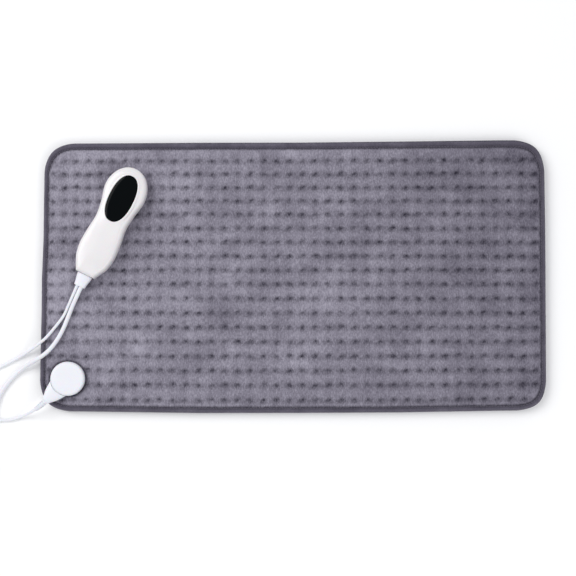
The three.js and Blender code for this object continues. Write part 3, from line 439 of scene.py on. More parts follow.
# %% Cloths
def cloth(name, tones, patch_mm, fibre_mm, fibre_depth, sheen, roughness, comb=1, fibre_share=1.0):
    """A cloth of three tones: patches where the pile leans, and fibres, comb times as long along Y.

    The attribute "lean_wear_and_painted_light" makes a place lighter or darker: the pile's lean and the
    tape's wear, with painted light and shade. A mesh without it reads 0.
    """
    material, tree, surface = new_material(
        name, tones[1], Roughness=roughness, Sheen_Weight=sheen, Sheen_Roughness=0.45, IOR=1.45
    )
    surface.inputs["Specular IOR Level"].default_value = 0.2
    where = add_node(tree, "ShaderNodeTexCoord").outputs["Object"]
    patches = add_node(
        tree,
        "ShaderNodeTexNoise",
        {"Vector": where, "Scale": 1000 / patch_mm, "Detail": 4, "Roughness": 0.65},
    )
    combed = add_node(tree, "ShaderNodeMapping", {"Vector": where, "Scale": (1, 1 / comb, 1)})
    fibres = add_node(
        tree,
        "ShaderNodeTexNoise",
        {"Vector": combed.outputs[0], "Scale": 1000 / fibre_mm, "Detail": 3, "Roughness": 0.75},
    )
    both = add_node(
        tree,
        "ShaderNodeMath",
        {0: fibres.outputs["Fac"], 1: fibre_share, 2: patches.outputs["Fac"]},
        operation="MULTIPLY_ADD",
    )
    lean_wear_and_painted_light = add_node(tree, "ShaderNodeAttribute", attribute_name="lean_wear_and_painted_light")
    tone = add_node(tree, "ShaderNodeMath", {0: both.outputs[0], 1: lean_wear_and_painted_light.outputs["Fac"]}, operation="ADD")
    middle, half_range = (1 + fibre_share) / 2, 0.56
    spread = add_node(
        tree,
        "ShaderNodeMapRange",
        {"Value": tone.outputs[0], "From Min": middle - half_range, "From Max": middle + half_range},
    )
    ramp = add_node(tree, "ShaderNodeValToRGB", {"Fac": spread.outputs["Result"]})
    ramp.color_ramp.elements[0].color = linear(tones[0])
    ramp.color_ramp.elements[1].color = linear(tones[2])
    ramp.color_ramp.elements.new(0.5).color = linear(tones[1])
    tree.links.new(ramp.outputs["Color"], surface.inputs["Base Color"])
    bump = add_node(
        tree,
        "ShaderNodeBump",
        {"Height": both.outputs[0], "Strength": 0.8, "Distance": fibre_depth * MM},
    )
    tree.links.new(bump.outputs["Normal"], surface.inputs["Normal"])
    return material, tree, surface, ramp, fibres


# %% Felt and plush
bonded_felt = cloth("bonded_white_felt", ("#C0BCB4", "#DEDBD6", "#F6F4F0"), 9, 0.9, 0.3, 0.2, 0.95)[0]

plush, plush_tree, plush_surface, plush_ramp, plush_fibres = cloth(
    "dimpled_plush_flannel", ("#5B5764", "#86828F", "#AFABB9"), 30, 1.5, 0.5, 0.12, 0.95, comb=2.4,
    fibre_share=1.5,
)
# A dent darkens the plush: partly the pile's darker root, partly painted shade in the dents and valleys, by
# the mark that the mesh carries. The same mark paints shade along the tape and round the socket. Single
# fibres stand in front of the root or leave it bare, which makes the dent's edge ragged.
pressed_and_painted_shade = add_node(plush_tree, "ShaderNodeAttribute", attribute_name="pressed_and_painted_shade")
bare = add_node(
    plush_tree,
    "ShaderNodeMapRange",
    {
        "Value": plush_fibres.outputs["Fac"],
        "From Min": 0.35,
        "From Max": 0.65,
        "To Min": 1.25,
        "To Max": 0.75,
    },
)
dark_root_and_shade = add_node(
    plush_tree,
    "ShaderNodeMath",
    {0: pressed_and_painted_shade.outputs["Fac"], 1: bare.outputs["Result"]},
    operation="MULTIPLY",
    use_clamp=True,
)
dark_root_and_shade_mix = add_node(
    plush_tree,
    "ShaderNodeMix",
    {0: dark_root_and_shade.outputs[0], 6: plush_ramp.outputs["Color"], 7: linear("#2C2935")},
    data_type="RGBA",
)
plush_tree.links.new(dark_root_and_shade_mix.outputs[2], plush_surface.inputs["Base Color"])
print(plush.name, "has", len(plush_tree.nodes), "nodes,", bonded_felt.name, len(bonded_felt.node_tree.nodes))

# %% Binding tape and thread
tape, tape_tree, tape_surface = cloth(
    "satin_binding_tape", ("#35313D", "#575360", "#797582"), 22, 1.2, 0.08, 0.1, 0.6
)[:3]
rib_where = add_node(tape_tree, "ShaderNodeUVMap", uv_map="UVMap").outputs["UV"]
ribs = add_node(
    tape_tree,
    "ShaderNodeTexWave",
    {"Vector": rib_where, "Scale": 1.0, "Distortion": 0.6},
    bands_direction="X",
)
rib_bump = add_node(
    tape_tree, "ShaderNodeBump", {"Height": ribs.outputs["Fac"], "Strength": 0.35, "Distance": 0.08 * MM}
)
tape_tree.links.new(tape_tree.nodes["Bump"].outputs["Normal"], rib_bump.inputs["Normal"])
tape_tree.links.new(rib_bump.outputs["Normal"], tape_surface.inputs["Normal"])

thread = moulded("polyester_thread", "#625E6A", 0.4, 0.1, Roughness=0.6, IOR=1.5)

print(tape.name, "has", len(tape_tree.nodes), "nodes")

# %% A finish for every slot
slot_finish = {
    "plush": plush, "binding_tape": tape, "felt": bonded_felt, "wire_jacket": silicone_jacket,
    "black_plastic": black_nylon, "white_pvc": white_pvc, "steel": nickel_plate, "brass": contact_brass,
    "controller_shell": abs_shell, "display_lens": lens_finish, "circuit_board": solder_mask,
    "diffuser": milky_diffuser, "amber_plastic": amber_epoxy,
}
for node, piece in frame["nodes"].items():
    piece.data.materials.clear()
    piece.data.materials.append(slot_finish[node_slot[node]])
print(len(frame["nodes"]), "CAD nodes wear", len(slot_finish), "finishes")

# %% [markdown]
# ## The plush faces
# Two layers of plush are pressed together at a grid of small dents, and the pile swells between them.
# A grid of points holds that relief: its rows shorten at the corners so that the border follows the pad's
# outline. One rule gives where it is pressed: shallow valleys along the rows and columns, and a dent at
# each crossing that is nudged a little, as pressed cloth is. The swell between the dents comes from a
# cloth simulation: a coarser sheet, pinned at its dents and under the tape, is blown up from below for a
# few frames, and the height it reaches is laid over the finer grid.

# %% The pad's outline as numbers
PAD_LONG, PAD_WIDE, CORNER_R = 600, 322, 38
RIM_INSET, TAPE_WIDE, TOP_SIDE_WIDER = 1.1, 6.8, 2.0
RIM_TOP, FACE_TOP, COVER_UNDER = 10.3, 12.4, 8.9
SOCKET_AT, SOCKET_R = (-266.5, -122.2), 20
rng = random.Random(7)


def edge_distance(x, y):
    """How far points are inside the pad's outline, in millimetres."""
    qx, qy = np.abs(x) - (PAD_LONG / 2 - CORNER_R), np.abs(y) - (PAD_WIDE / 2 - CORNER_R)
    outside = np.hypot(np.maximum(qx, 0), np.maximum(qy, 0))
    return CORNER_R - outside - np.minimum(np.maximum(qx, qy), 0)


print("the pad's middle is", float(edge_distance(0.0, 0.0)), "mm inside its outline")

# %% Bowed sides and full corners
# A sewn pad is never quite square. Each side bows or slants by a few millimetres, and the bow fades inwards.
# For each side: places along it, and how far it moves up or to the right there.
SIDE_BOWS = {
    "far": ((-253, -170, -111, 8, 127, 246, 300), (-0.9, -0.4, 0.0, 0.2, 1.5, 3.0, 3.2)),
    "near": ((-253, -170, -111, 8, 127, 246, 300), (0.1, -1.1, -1.9, -1.7, -1.1, 1.0, 1.2)),
    "left": ((-161, -105, -40, -4, 43, 91, 127, 161), (-1.0, -1.2, -0.5, -0.7, 0.6, 0.6, 0.7, 0.7)),
    "right": ((-123, -76, -28, 20, 67, 115, 161), (-0.7, -0.3, 0.1, 0.6, 0.8, 0.7, 0.7)),
}
# How far each corner stands out past its round, in millimetres.
FAR_RIGHT_FILL, NEAR_RIGHT_FILL, FAR_LEFT_FILL, NEAR_LEFT_FILL = 2.3, 2.5, 1.4, 2.0
DIAGONAL = 0.707


def settled(x, y):
    """Where points of a perfectly square pad lie on this one, in millimetres."""
    half_long, half_wide = PAD_LONG / 2, PAD_WIDE / 2
    far, near = (np.interp(x, *SIDE_BOWS[side]) for side in ("far", "near"))
    left, right = (np.interp(y, *SIDE_BOWS[side]) for side in ("left", "right"))
    up = far * np.clip(y / half_wide, 0, 1) ** 4 + near * np.clip(-y / half_wide, 0, 1) ** 4
    sideways = right * np.clip(x / half_long, 0, 1) ** 6 + left * np.clip(-x / half_long, 0, 1) ** 6
    into_x = np.clip((np.abs(x) - half_long) / CORNER_R + 1, 0, 1)
    into_y = np.clip((np.abs(y) - half_wide) / CORNER_R + 1, 0, 1)
    reach = np.hypot(into_x, into_y)
    fill = np.where(
        x > 0,
        np.where(y > 0, FAR_RIGHT_FILL, NEAR_RIGHT_FILL),
        np.where(y > 0, FAR_LEFT_FILL, NEAR_LEFT_FILL),
    )
    fill = fill * DIAGONAL * reach * (2 * into_x * into_y / np.maximum(reach, 1e-6) ** 2) ** 3
    return x + sideways + fill * np.sign(x), y + up + fill * np.sign(y)


moved_side = settled(np.array(300.0), np.array(0.0))
print("the middle of the right side moves to", [round(float(v), 1) for v in moved_side])


# %% A grid inside the outline
def outline_grid(inset, across, down):
    """A grid of points that fills the outline moved in by inset."""
    a, b, r = PAD_LONG / 2 - inset, PAD_WIDE / 2 - inset, CORNER_R - inset
    y = np.linspace(-b, b, down)
    into_corner = np.clip(np.abs(y) - (b - r), 0, r)
    row_end = a - r + np.sqrt(np.maximum(r * r - into_corner**2, 0))
    flat = a - 2.5 * r
    s = np.linspace(-a, a, across)[None, :]
    past = np.maximum(np.abs(s) - flat, 0) * (row_end[:, None] - flat) / (a - flat)
    return np.sign(s) * (np.minimum(np.abs(s), flat) + past), np.broadcast_to(y[:, None], (down, across))


few_columns = outline_grid(RIM_INSET, 9, 5)[0]
print("rows start at", [round(float(x), 1) for x in few_columns[:, 0]], "mm")

# %% Dents and valleys
DENT_COLUMNS = np.r_[-289.3 + 14.5 * np.arange(10), -144.0 + 15.38 * np.arange(29)]
DENT_ROWS = np.array([
    138.6, 122.6, 106.5, 90.4, 74.4, 57.7, 41.1, 24.4, 7.7, -8.9, -26.2, -43.4, -60.4, -77.6, -94.6,
    -111.3, -128.2, -145.8,
])
# One dent, as (right, up, half width, half height, strength): the eye of the dent, the crease that spreads
# below it, the fold that runs up from it, and the hollow that it pulls into the swell round it.
DENT = [
    (0.9, 0.1, 3.1, 1.5, 0.54),
    (0, -2.0, 5.2, 2.2, 0.4),
    (1.5, 2.1, 1.6, 1.6, 0.12),
    (0, -0.6, 8.0, 5.2, 0.15),
]
DENT_DEPTH = 2.6
ROW_VALLEY, ROW_VALLEY_HALF, ROW_VALLEY_DOWN = 0.135, 4.3, 2.0
COLUMN_VALLEY, COLUMN_VALLEY_HALF = 0.05, 3.0


def relief(x, y):
    """How deep each point lies in the valleys along the rows and in the dents, 0 to 1; the plush is also
    darkened by it, partly as painted shade.
    """
    row = y[..., None] - DENT_ROWS
    row = np.take_along_axis(row, np.abs(row).argmin(-1)[..., None], -1)[..., 0]
    column = np.abs(x[..., None] - DENT_COLUMNS).min(-1)
    uneven = 1 + 0.9 * slow_noise(x, y, 46, 2.0) + 0.7 * x / PAD_LONG
    mark = ROW_VALLEY * uneven * np.exp(-(((row + ROW_VALLEY_DOWN) / ROW_VALLEY_HALF) ** 2))
    mark = mark + COLUMN_VALLEY * np.exp(-((column / COLUMN_VALLEY_HALF) ** 2))
    for cx in DENT_COLUMNS:
        for cy in DENT_ROWS:
            if edge_distance(cx, cy) < TAPE_WIDE - 3:
                continue
            px, py = cx + rng.gauss(0, 0.55), cy + rng.gauss(0, 0.45)
            strength, spread, lean = rng.uniform(0.56, 0.92), rng.uniform(0.85, 1.15), rng.gauss(0, 0.12)
            i0, i1 = np.searchsorted(y[:, 0], (py - 12, py + 12))
            j0, j1 = np.searchsorted(x[len(x) // 2], (px - 18, px + 18))
            u, v = (x[i0:i1, j0:j1] - px) / spread, y[i0:i1, j0:j1] - py
            v = v - lean * u
            for right, up, half_wide, half_high, share in DENT:
                pit = np.exp(-(((u - right) / half_wide) ** 2) - ((v - up) / half_high) ** 2)
                mark[i0:i1, j0:j1] += strength * share * pit
    return np.clip(mark, 0, 1)


def slow_noise(x, y, size, seed):
    flat = [noise.noise((a / size, b / size, seed)) for a, b in zip(x[::4, ::4].ravel(), y[::4, ::4].ravel())]
    coarse = np.array(flat).reshape(x[::4, ::4].shape)
    rows = np.linspace(0, coarse.shape[0] - 1, x.shape[0])
    columns = np.linspace(0, coarse.shape[1] - 1, x.shape[1])
    down = np.stack([np.interp(rows, range(coarse.shape[0]), c) for c in coarse.T], 1)
    return np.stack([np.interp(columns, range(coarse.shape[1]), r) for r in down])


print("dents:", len(DENT_COLUMNS), "by", len(DENT_ROWS))

# %% [markdown]
# ## Cloth that swells between its dents
# Pressed plush stands up between the points that hold it. A formula for the swell would look machined,
# and sculpting would not give the same result twice. Cloth simulation answers both: a sheet cut a little
# too large, pinned at its dents and under the tape, is blown up from below and puckers as it likes.

# %% The cloth simulation
SHEET_STEP = 3  # one point of the simulated sheet for three by three points of the face
PUFF_FRAMES, MOST_PUFF = 14, 1.9
print("cloth frames:", PUFF_FRAMES, "highest rise kept:", MOST_PUFF, "mm")


def puffed(x, y, z, held):
    """How far a sheet of cloth, held at its dents and rim, rises under pressure, in millimetres."""
    part = (slice(None, None, SHEET_STEP), slice(None, None, SHEET_STEP))
    sx, sy, sz, pinned = x[part], y[part], z[part], held[part]
    grid = np.arange(sx.size).reshape(sx.shape)
    quads = np.stack([grid[:-1, :-1], grid[:-1, 1:], grid[1:, 1:], grid[1:, :-1]], -1).reshape(-1, 4)
    sheet = place_piece("plush_sheet", np.stack([sx, sy, sz], -1).reshape(-1, 3) * MM, quads.tolist(), plush)
    pins = sheet.vertex_groups.new(name="pins")
    pins.add([int(i) for i in grid[pinned]], 1.0, "REPLACE")
    cloth_modifier = sheet.modifiers.new("cloth", "CLOTH")
    settings = cloth_modifier.settings
    settings.vertex_group_mass = "pins"
    settings.quality = 5
    settings.tension_stiffness = settings.compression_stiffness = 12
    settings.shear_stiffness, settings.bending_stiffness = 4, 0.2
    settings.shrink_min = -0.035  # a sheet cut a little too large, which puckers between its dents
    settings.use_pressure, settings.uniform_pressure_force = True, 4
    settings.effector_weights.gravity = 0
    cloth_modifier.collision_settings.use_collision = False
    cloth_modifier.point_cache.frame_end = PUFF_FRAMES
    for frame_number in range(1, PUFF_FRAMES + 1):
        bpy.context.scene.frame_set(frame_number)
    rested = solid_from(sheet, "plush_rested")
    heights = np.empty(sx.size * 3, np.float32)
    rested.data.vertices.foreach_get("co", heights)
    rise = heights.reshape(-1, 3)[:, 2].reshape(sx.shape) / MM - sz
    bpy.data.objects.remove(sheet)
    bpy.data.objects.remove(rested)
    bpy.context.scene.frame_set(1)
    print("cloth rises", round(float(rise.min()), 2), "to", round(float(rise.max()), 2), "mm")
    rise = np.clip(rise, -0.4, MOST_PUFF)
    rows, columns = (np.arange(n) / SHEET_STEP for n in x.shape)
    down = np.stack([np.interp(rows, range(rise.shape[0]), c) for c in rise.T], 1)
    return np.stack([np.interp(columns, range(rise.shape[1]), r) for r in down])


# %% A plush face
def border(shape):
    """The grid's border as point numbers, anticlockwise."""
    grid = np.arange(shape[0] * shape[1]).reshape(shape)
    return np.r_[grid[0, :-1], grid[:-1, -1], grid[-1, :0:-1], grid[:0:-1, 0]]


def plush_face(name, across, down, upward):
    x, y = outline_grid(RIM_INSET, across, down)
    inside = edge_distance(x, y)
    if upward:
        inside = inside - TOP_SIDE_WIDER * np.clip((y - (PAD_WIDE / 2 - CORNER_R)) / 31, 0, 1)
    rise = np.clip((inside - TAPE_WIDE + 0.6) / 6.5, 0, 1)
    swell = np.sqrt(1 - (1 - rise) ** 2)
    mark = relief(x, y)
    drop = DENT_DEPTH * mark
    # Painted shade: the plush darkens in a gutter along the tape's inner edge.
    mark = np.maximum(mark, 0.7 * np.exp(-((np.maximum(inside - TAPE_WIDE, 0) / 1.5) ** 2)))
    if upward:
        # A ring round the socket dips a little, and the plush is darkened there as a painted contact shadow.
        clamp_dip_and_shadow = np.exp(-(((np.hypot(x - SOCKET_AT[0], y - SOCKET_AT[1]) - SOCKET_R - 0.6) / 2.1) ** 2))
        drop, mark = drop + 1.2 * clamp_dip_and_shadow, np.maximum(mark, 0.85 * clamp_dip_and_shadow)
        wave = 0.45 * slow_noise(x, y, 70, 3.0)
        z = RIM_TOP + swell * (FACE_TOP - 0.7 - RIM_TOP - 0.7 * drop + wave)
        z += puffed(x, y, z, (mark > 0.42) | (inside < TAPE_WIDE + 1))
        # The leads lie here and slide a little when the plug is pulled. Their weight keeps the swell down.
        under_leads = np.exp(-(((x + 279) / 22) ** 2) - ((y + 55) / 60) ** 2)
        z -= 0.6 * under_leads * np.clip((z - 12.2) / 0.9, 0, 1)
        under = np.full_like(z, COVER_UNDER)
    else:
        z = 1.1 - swell * (1.1 - np.minimum(0.5 * drop, 0.9))
        under = np.full_like(z, 1.6)
    count = x.size
    x, y = settled(x, y)
    points = np.concatenate([
        np.stack([x, y, z], -1).reshape(-1, 3), np.stack([x, y, under], -1).reshape(-1, 3)[border(x.shape)]
    ])
    grid = np.arange(count).reshape(x.shape)
    quads = np.stack([grid[:-1, :-1], grid[:-1, 1:], grid[1:, 1:], grid[1:, :-1]], -1).reshape(-1, 4)
    rim = border(x.shape)
    rim_next = np.roll(rim, -1)
    low = np.arange(count, count + len(rim))
    walls = np.stack([rim, low, np.roll(low, -1), rim_next], -1)
    faces = [*quads.tolist(), *walls.tolist(), low[::-1].tolist()]
    if not upward:
        faces = [f[::-1] for f in faces]
    piece = place_piece(name, points * MM, faces, plush, 80)
    # Painted light and shade: lighter on the left and darker on the right, as the left light falls, and
    # darkest at the far right corner. The slow noise is the pile's own lean in patches.
    lean_wear_and_painted_light = np.interp(x, (-300, -130, 90, 200, 300), (0.19, 0.05, 0.0, -0.09, -0.24))
    lean_wear_and_painted_light = lean_wear_and_painted_light + 0.1 * slow_noise(x, y, 55, 6.0)
    lean_wear_and_painted_light = lean_wear_and_painted_light - 0.12 * np.exp(-(((x - 300) / 120) ** 2) - ((y - 160) / 90) ** 2)
    for title, values in (("pressed_and_painted_shade", mark), ("lean_wear_and_painted_light", lean_wear_and_painted_light)):
        attribute = piece.data.attributes.new(title, "FLOAT", "POINT")
        attribute.data.foreach_set("value", np.r_[values.ravel(), np.zeros(len(rim))].astype(np.float32))
    return piece


print("a grid of 5 by 4 has a border of", len(border((5, 4))), "points")

# %% Both faces
plush_top = plush_face("plush_top_face", 520, 280, True)
plush_back = plush_face("plush_back_face", 300, 160, False)
print("plush faces:", len(plush_top.data.polygons), len(plush_back.data.polygons))

# %% [markdown]
# ## The binding tape
# A tape is folded round the raw edges and sewn through. It puckers where it turns a corner, since its
# inner edge has less way to go. A C-shaped outline is carried round the pad, swollen and pinched by noise
# that grows in the corners, and Geometry Nodes lay the stitches along its inner edge.


# %% Tape
def pad_loop(inset, step=2.2):
    """Points round the pad's outline, with unit vectors that point outwards."""
    a, b, r = PAD_LONG / 2 - CORNER_R, PAD_WIDE / 2 - CORNER_R, CORNER_R
    points, normals, bend = [], [], []
    corners = [(a, -b, -90), (a, b, 0), (-a, b, 90), (-a, -b, 180)]
    for i, (cx, cy, start) in enumerate(corners):
        for k in range(24):
            t = math.radians(start + 90 * k / 23)
            normals.append((math.cos(t), math.sin(t)))
            points.append((cx + (r - inset) * math.cos(t), cy + (r - inset) * math.sin(t)))
            bend.append(1.0)
        nx, ny, _ = corners[(i + 1) % 4]
        last = np.array(points[-1])
        t = math.radians(start + 90)
        goal = np.array((nx + (r - inset) * math.cos(t), ny + (r - inset) * math.sin(t)))
        count = int(np.linalg.norm(goal - last) / step)
        for k in range(1, count):
            points.append(tuple(last + (goal - last) * k / count))
            normals.append((math.cos(t), math.sin(t)))
            bend.append(0.0)
    return np.array(points), np.array(normals), np.array(bend)


print("loop points:", len(pad_loop(0)[0]))

# %% The folded tape
TAPE_OUTLINE = [
    # distance inside the pad's edge, and height, up over the outside and back under the inside
    (8.3, 0.75), (7.4, 0.3), (5.6, 0.05), (3.6, 0.2), (1.9, 1.1), (0.7, 2.8), (0.1, 5.6), (0.45, 8.3),
    (1.3, 10.3), (2.4, 11.5), (3.5, 11.9), (4.7, 11.6), (5.7, 10.95), (TAPE_WIDE, 10.3), (6.6, 10.0),
    (5.2, 10.3), (3.0, 10.4), (1.7, 9.3), (0.95, 7.6), (0.9, 4.4), (1.5, 2.2), (3.0, 1.05), (6.0, 0.95),
    (8.1, 1.05),
]


def tape_rings():
    points, normals, bend = pad_loop(0)
    bend = np.convolve(np.r_[bend[-8:], bend, bend[:8]], np.ones(17) / 17, "same")[8:-8]
    rings = []
    for k, ((px, py), (nx, ny)) in enumerate(zip(points, normals)):
        pucker = noise.noise((px / 7, py / 7, 1.0)) + 0.5 * noise.noise((px / 3.1, py / 3.1, 5.0))
        swell = (0.25 + 0.55 * bend[k]) * pucker
        slack = 0.5 * noise.noise((px / 24, py / 24, 9.0))
        ring = []
        for inset, height in TAPE_OUTLINE:
            on_face = min(1, max(0, (inset - 1.5) / 3)) * (1 if 2 < inset < 8 else 0.4)
            lift = swell * on_face * (1 if height > 6 else -0.25)
            shifted = inset + (slack if inset > 5 and height > 6 else 0.3 * slack if inset > 5 else 0)
            shifted += TOP_SIDE_WIDER * max(0, ny) * (height > 9.5) * min(1, inset / 5)
            ring.append((px - nx * shifted, py - ny * shifted, max(0.02, height + lift)))
        rings.append(ring)
    rings = np.array(rings)
    rings[..., 0], rings[..., 1] = settled(rings[..., 0], rings[..., 1])
    return rings * MM


rings = tape_rings()
binding = place_piece("binding_tape", *skin(rings, closed=True), tape, 60)
print("tape faces:", len(binding.data.polygons))

# %% Wear, painted seam shade and ribs on the tape
# The fold is worn lighter, and towards the seam the tape is darkened by painted shade.
fold_wear_and_seam_shade = [np.interp(inset, (0, 2, 3.5, 6), (0.14, 0.06, -0.08, -0.45)) for inset, _ in TAPE_OUTLINE]
worn_and_shaded = binding.data.attributes.new("lean_wear_and_painted_light", "FLOAT", "POINT")
worn_and_shaded.data.foreach_set("value", np.tile(fold_wear_and_seam_shade, len(rings)).astype(np.float32))
uv = binding.data.uv_layers.new(name="UVMap")
sides, count = len(TAPE_OUTLINE), len(rings)
for polygon in binding.data.polygons:
    for loop in polygon.loop_indices:
        vertex = binding.data.loops[loop].vertex_index
        uv.data[loop].uv = ((vertex % sides) * 6.0, vertex // sides / 10)
print("tape UVs:", len(uv.data))

# %% [markdown]
# ## Stitches and ribs by Geometry Nodes
# Stitches along a seam and ribs along a strain relief are one idea: short rods set at a pitch along a
# line, turned to follow it. One tree does both. Its sizes are named inputs, and an end scale makes the
# ribs taper while the stitches stay alike.


# %% Rods along a line
def rods_tree():
    tree = bpy.data.node_groups.new("rods_along_a_line", "GeometryNodeTree")
    face = tree.interface
    face.new_socket("Geometry", in_out="INPUT", socket_type="NodeSocketGeometry")
    for name in ("Pitch", "Rod length", "Rod radius", "End scale", "Flatness"):
        face.new_socket(name, in_out="INPUT", socket_type="NodeSocketFloat")
    face.new_socket("Rod sides", in_out="INPUT", socket_type="NodeSocketInt")
    face.new_socket("Finish", in_out="INPUT", socket_type="NodeSocketMaterial")
    face.new_socket("Geometry", in_out="OUTPUT", socket_type="NodeSocketGeometry")
    given = add_node(tree, "NodeGroupInput").outputs
    curve = add_node(tree, "GeometryNodeMeshToCurve", {0: given["Geometry"]})
    spaced = add_node(
        tree,
        "GeometryNodeResampleCurve",
        {"Curve": curve.outputs[0], "Length": given["Pitch"]},
        mode="LENGTH",
    )
    rod = add_node(
        tree,
        "GeometryNodeMeshCylinder",
        {"Vertices": given["Rod sides"], "Radius": given["Rod radius"], "Depth": given["Rod length"]},
    )
    tangent = add_node(tree, "GeometryNodeInputTangent")
    turned = add_node(
        tree, "FunctionNodeAlignRotationToVector", {"Vector": tangent.outputs[0]}, axis="Z", pivot_axis="AUTO"
    )
    flat_up = add_node(
        tree,
        "FunctionNodeAlignRotationToVector",
        {"Rotation": turned.outputs[0], "Vector": (0, 0, 1)},
        axis="X",
        pivot_axis="Z",
    )
    along = add_node(tree, "GeometryNodeSplineParameter")
    size = add_node(
        tree,
        "ShaderNodeMapRange",
        {"Value": along.outputs["Factor"], "To Min": 1.0, "To Max": given["End scale"]},
    )
    flat = add_node(
        tree, "ShaderNodeMath", {0: size.outputs["Result"], 1: given["Flatness"]}, operation="MULTIPLY"
    )
    scale = add_node(
        tree, "ShaderNodeCombineXYZ", {"X": flat.outputs[0], "Y": size.outputs["Result"], "Z": 1.0}
    )
    rods = add_node(
        tree,
        "GeometryNodeInstanceOnPoints",
        {
            "Points": spaced.outputs[0],
            "Instance": rod.outputs["Mesh"],
            "Rotation": flat_up.outputs[0],
            "Scale": scale.outputs[0],
        },
    )
    real = add_node(tree, "GeometryNodeRealizeInstances", {0: rods.outputs[0]})
    made = add_node(tree, "GeometryNodeSetMaterial", {0: real.outputs[0], "Material": given["Finish"]})
    add_node(tree, "NodeGroupOutput", {"Geometry": made.outputs[0]})
    return tree


RODS = rods_tree()
print("rods tree:", len(RODS.nodes), "nodes")


# %% A line of rods as a plain mesh
def rods_along(name, line, material, loop=False, **sizes):
    """Rods along a line of points: sizes are the tree's named inputs, in metres."""
    edges = [(i, i + 1) for i in range(len(line) - 1)] + ([(len(line) - 1, 0)] if loop else [])
    mesh = bpy.data.meshes.new(name)
    mesh.from_pydata([tuple(p) for p in line], edges, [])
    maker = bpy.data.objects.new(name + "_line", mesh)
    bpy.context.scene.collection.objects.link(maker)
    modifier = maker.modifiers.new("rods", "NODES")
    modifier.node_group = RODS
    sizes = {"Flatness": 1.0, "End scale": 1.0, "Rod sides": 8, **sizes, "Finish": material}
    for item in RODS.interface.items_tree:
        if item.in_out == "INPUT" and item.name in sizes:
            modifier[item.identifier] = sizes[item.name]
    piece = solid_from(maker, name)
    bpy.data.objects.remove(maker)
    return piece


# %% Stitches on both faces of the tape
stitches = {}
for face, inset, height, wider in (("upper", 5.5, 11.25, TOP_SIDE_WIDER), ("lower", 7.0, 0.25, 0)):
    seam, outwards, _ = pad_loop(inset, 4)
    seam = seam - outwards * wider * np.maximum(outwards[:, 1:], 0)
    line = np.c_[(*settled(*seam.T), np.full(len(seam), height))] * MM
    stitches[face] = rods_along(
        "tape_stitches_" + face, line, thread, loop=True,
        **{"Pitch": 3.4 * MM, "Rod length": 2.6 * MM, "Rod radius": 0.32 * MM, "Rod sides": 6},
    )
print("stitches on each face:", len(stitches["upper"].data.polygons) // 8)

# %% [markdown]
# ## Cutting shapes out
# Mouths, bores and screw wells are left by the cores of a mould. They could be modelled face by face, but
# the Boolean modifier cuts them from simple rods and boxes, and moving one stays easy. The result
# replaces the mesh, so that no live modifier is left.


# %% Cutters
def carve(piece, *cutters, operation="DIFFERENCE"):
    name, material = piece.name, piece.data.materials[0]
    for cutter in cutters:
        modifier = piece.modifiers.new("cut", "BOOLEAN")
        modifier.object, modifier.operation, modifier.solver = cutter, operation, "EXACT"
    piece.name = name + "_uncut"
    result = solid_from(piece, name)
    for used in (piece, *cutters):
        bpy.data.objects.remove(used)
    result.data.materials.clear()
    result.data.materials.append(material)
    result.data.shade_smooth()
    result.data.set_sharp_from_angle(angle=math.radians(35))
    return result


def moved(points, place):
    points = np.asarray(points, float)
    matrix = np.array(place)
    return (points @ matrix[:3, :3].T + matrix[:3, 3]) * MM


def rod_cutter(start, end, radius, place, sides=28):
    line = np.linspace(start, end, 2)
    rings = round_rings(line, radius, sides)
    return place_piece("rod_cutter", *skin(moved(rings, place)), white_pvc)


def box_cutter(low, high, place):
    (ax, ay, az), (bx, by, bz) = low, high
    rings = [[(x, ay, az), (x, by, az), (x, by, bz), (x, ay, bz)] for x in (ax, bx)]
    return place_piece("box_cutter", *skin(moved(rings, place)), white_pvc)


print("one millimetre is", moved([(1, 0, 0)], Matrix.Identity(4))[0][0], "m here")

# %% [markdown]
# ## The hand controller
# Two ABS shells meet at a thin parting line. Seen from above the body is a long waisted shape: broad at
# the head, narrow at the middle, cut straight where the boot starts. The side is one smooth curve through
# measured half-widths. Rings of that outline, moved inwards as they rise, give the rounded edge, and
# the last rings turn into the lens's oval, so that the top is one unbroken skin with a raised lip.

# %% The controller's outline
HANDSET_PLACE = Matrix.Translation((-216.6, 62.9, 12.7)) @ Matrix.Rotation(math.radians(-26.05), 4, "Z")
CORD_END_Y = -69.3
HANDSET_SIDE = [
    (11.5, -69.3), (15.4, -62), (20, -52.4), (22.4, -38), (21.5, -20), (19.4, 0), (21.4, 18), (25.2, 37),
    (23.4, 50), (18.3, 60), (10.2, 67), (0, 69.5),
]
LENS_MIDDLE, LENS_HALF_WIDE, LENS_HALF_LONG = 29.7, 14.55, 29.2
LENS_POWER = 2.25  # 2 is a plain oval, and more is squarer
HOUSING_SCREWS = [(-18, 36), (18, 36), (-14.8, -43), (14.8, -43)]
right_side = smooth_line([(x, y, 0) for x, y in [*HANDSET_SIDE, (-10.2, 67)]], 1.2)[:, :2]
right_side = right_side[: int(np.argmin(np.abs(right_side[:, 0]) + (right_side[:, 1] < 60) * 99)) + 1]
right_side[-1, 0] = 0
side_direction = np.gradient(right_side, axis=0)
side_direction /= np.linalg.norm(side_direction, axis=1)[:, None]
side_direction[-1] = (-1, 0)
# The moulding isn't quite symmetrical: its head leans a little to one side and its foot to the other.
SWAY = (-69, -57, -42, -20, 15, 30, 45, 60, 69.5), (0.3, 0.6, 0.6, 0.45, 0, -0.5, -0.9, -0.8, -0.6)


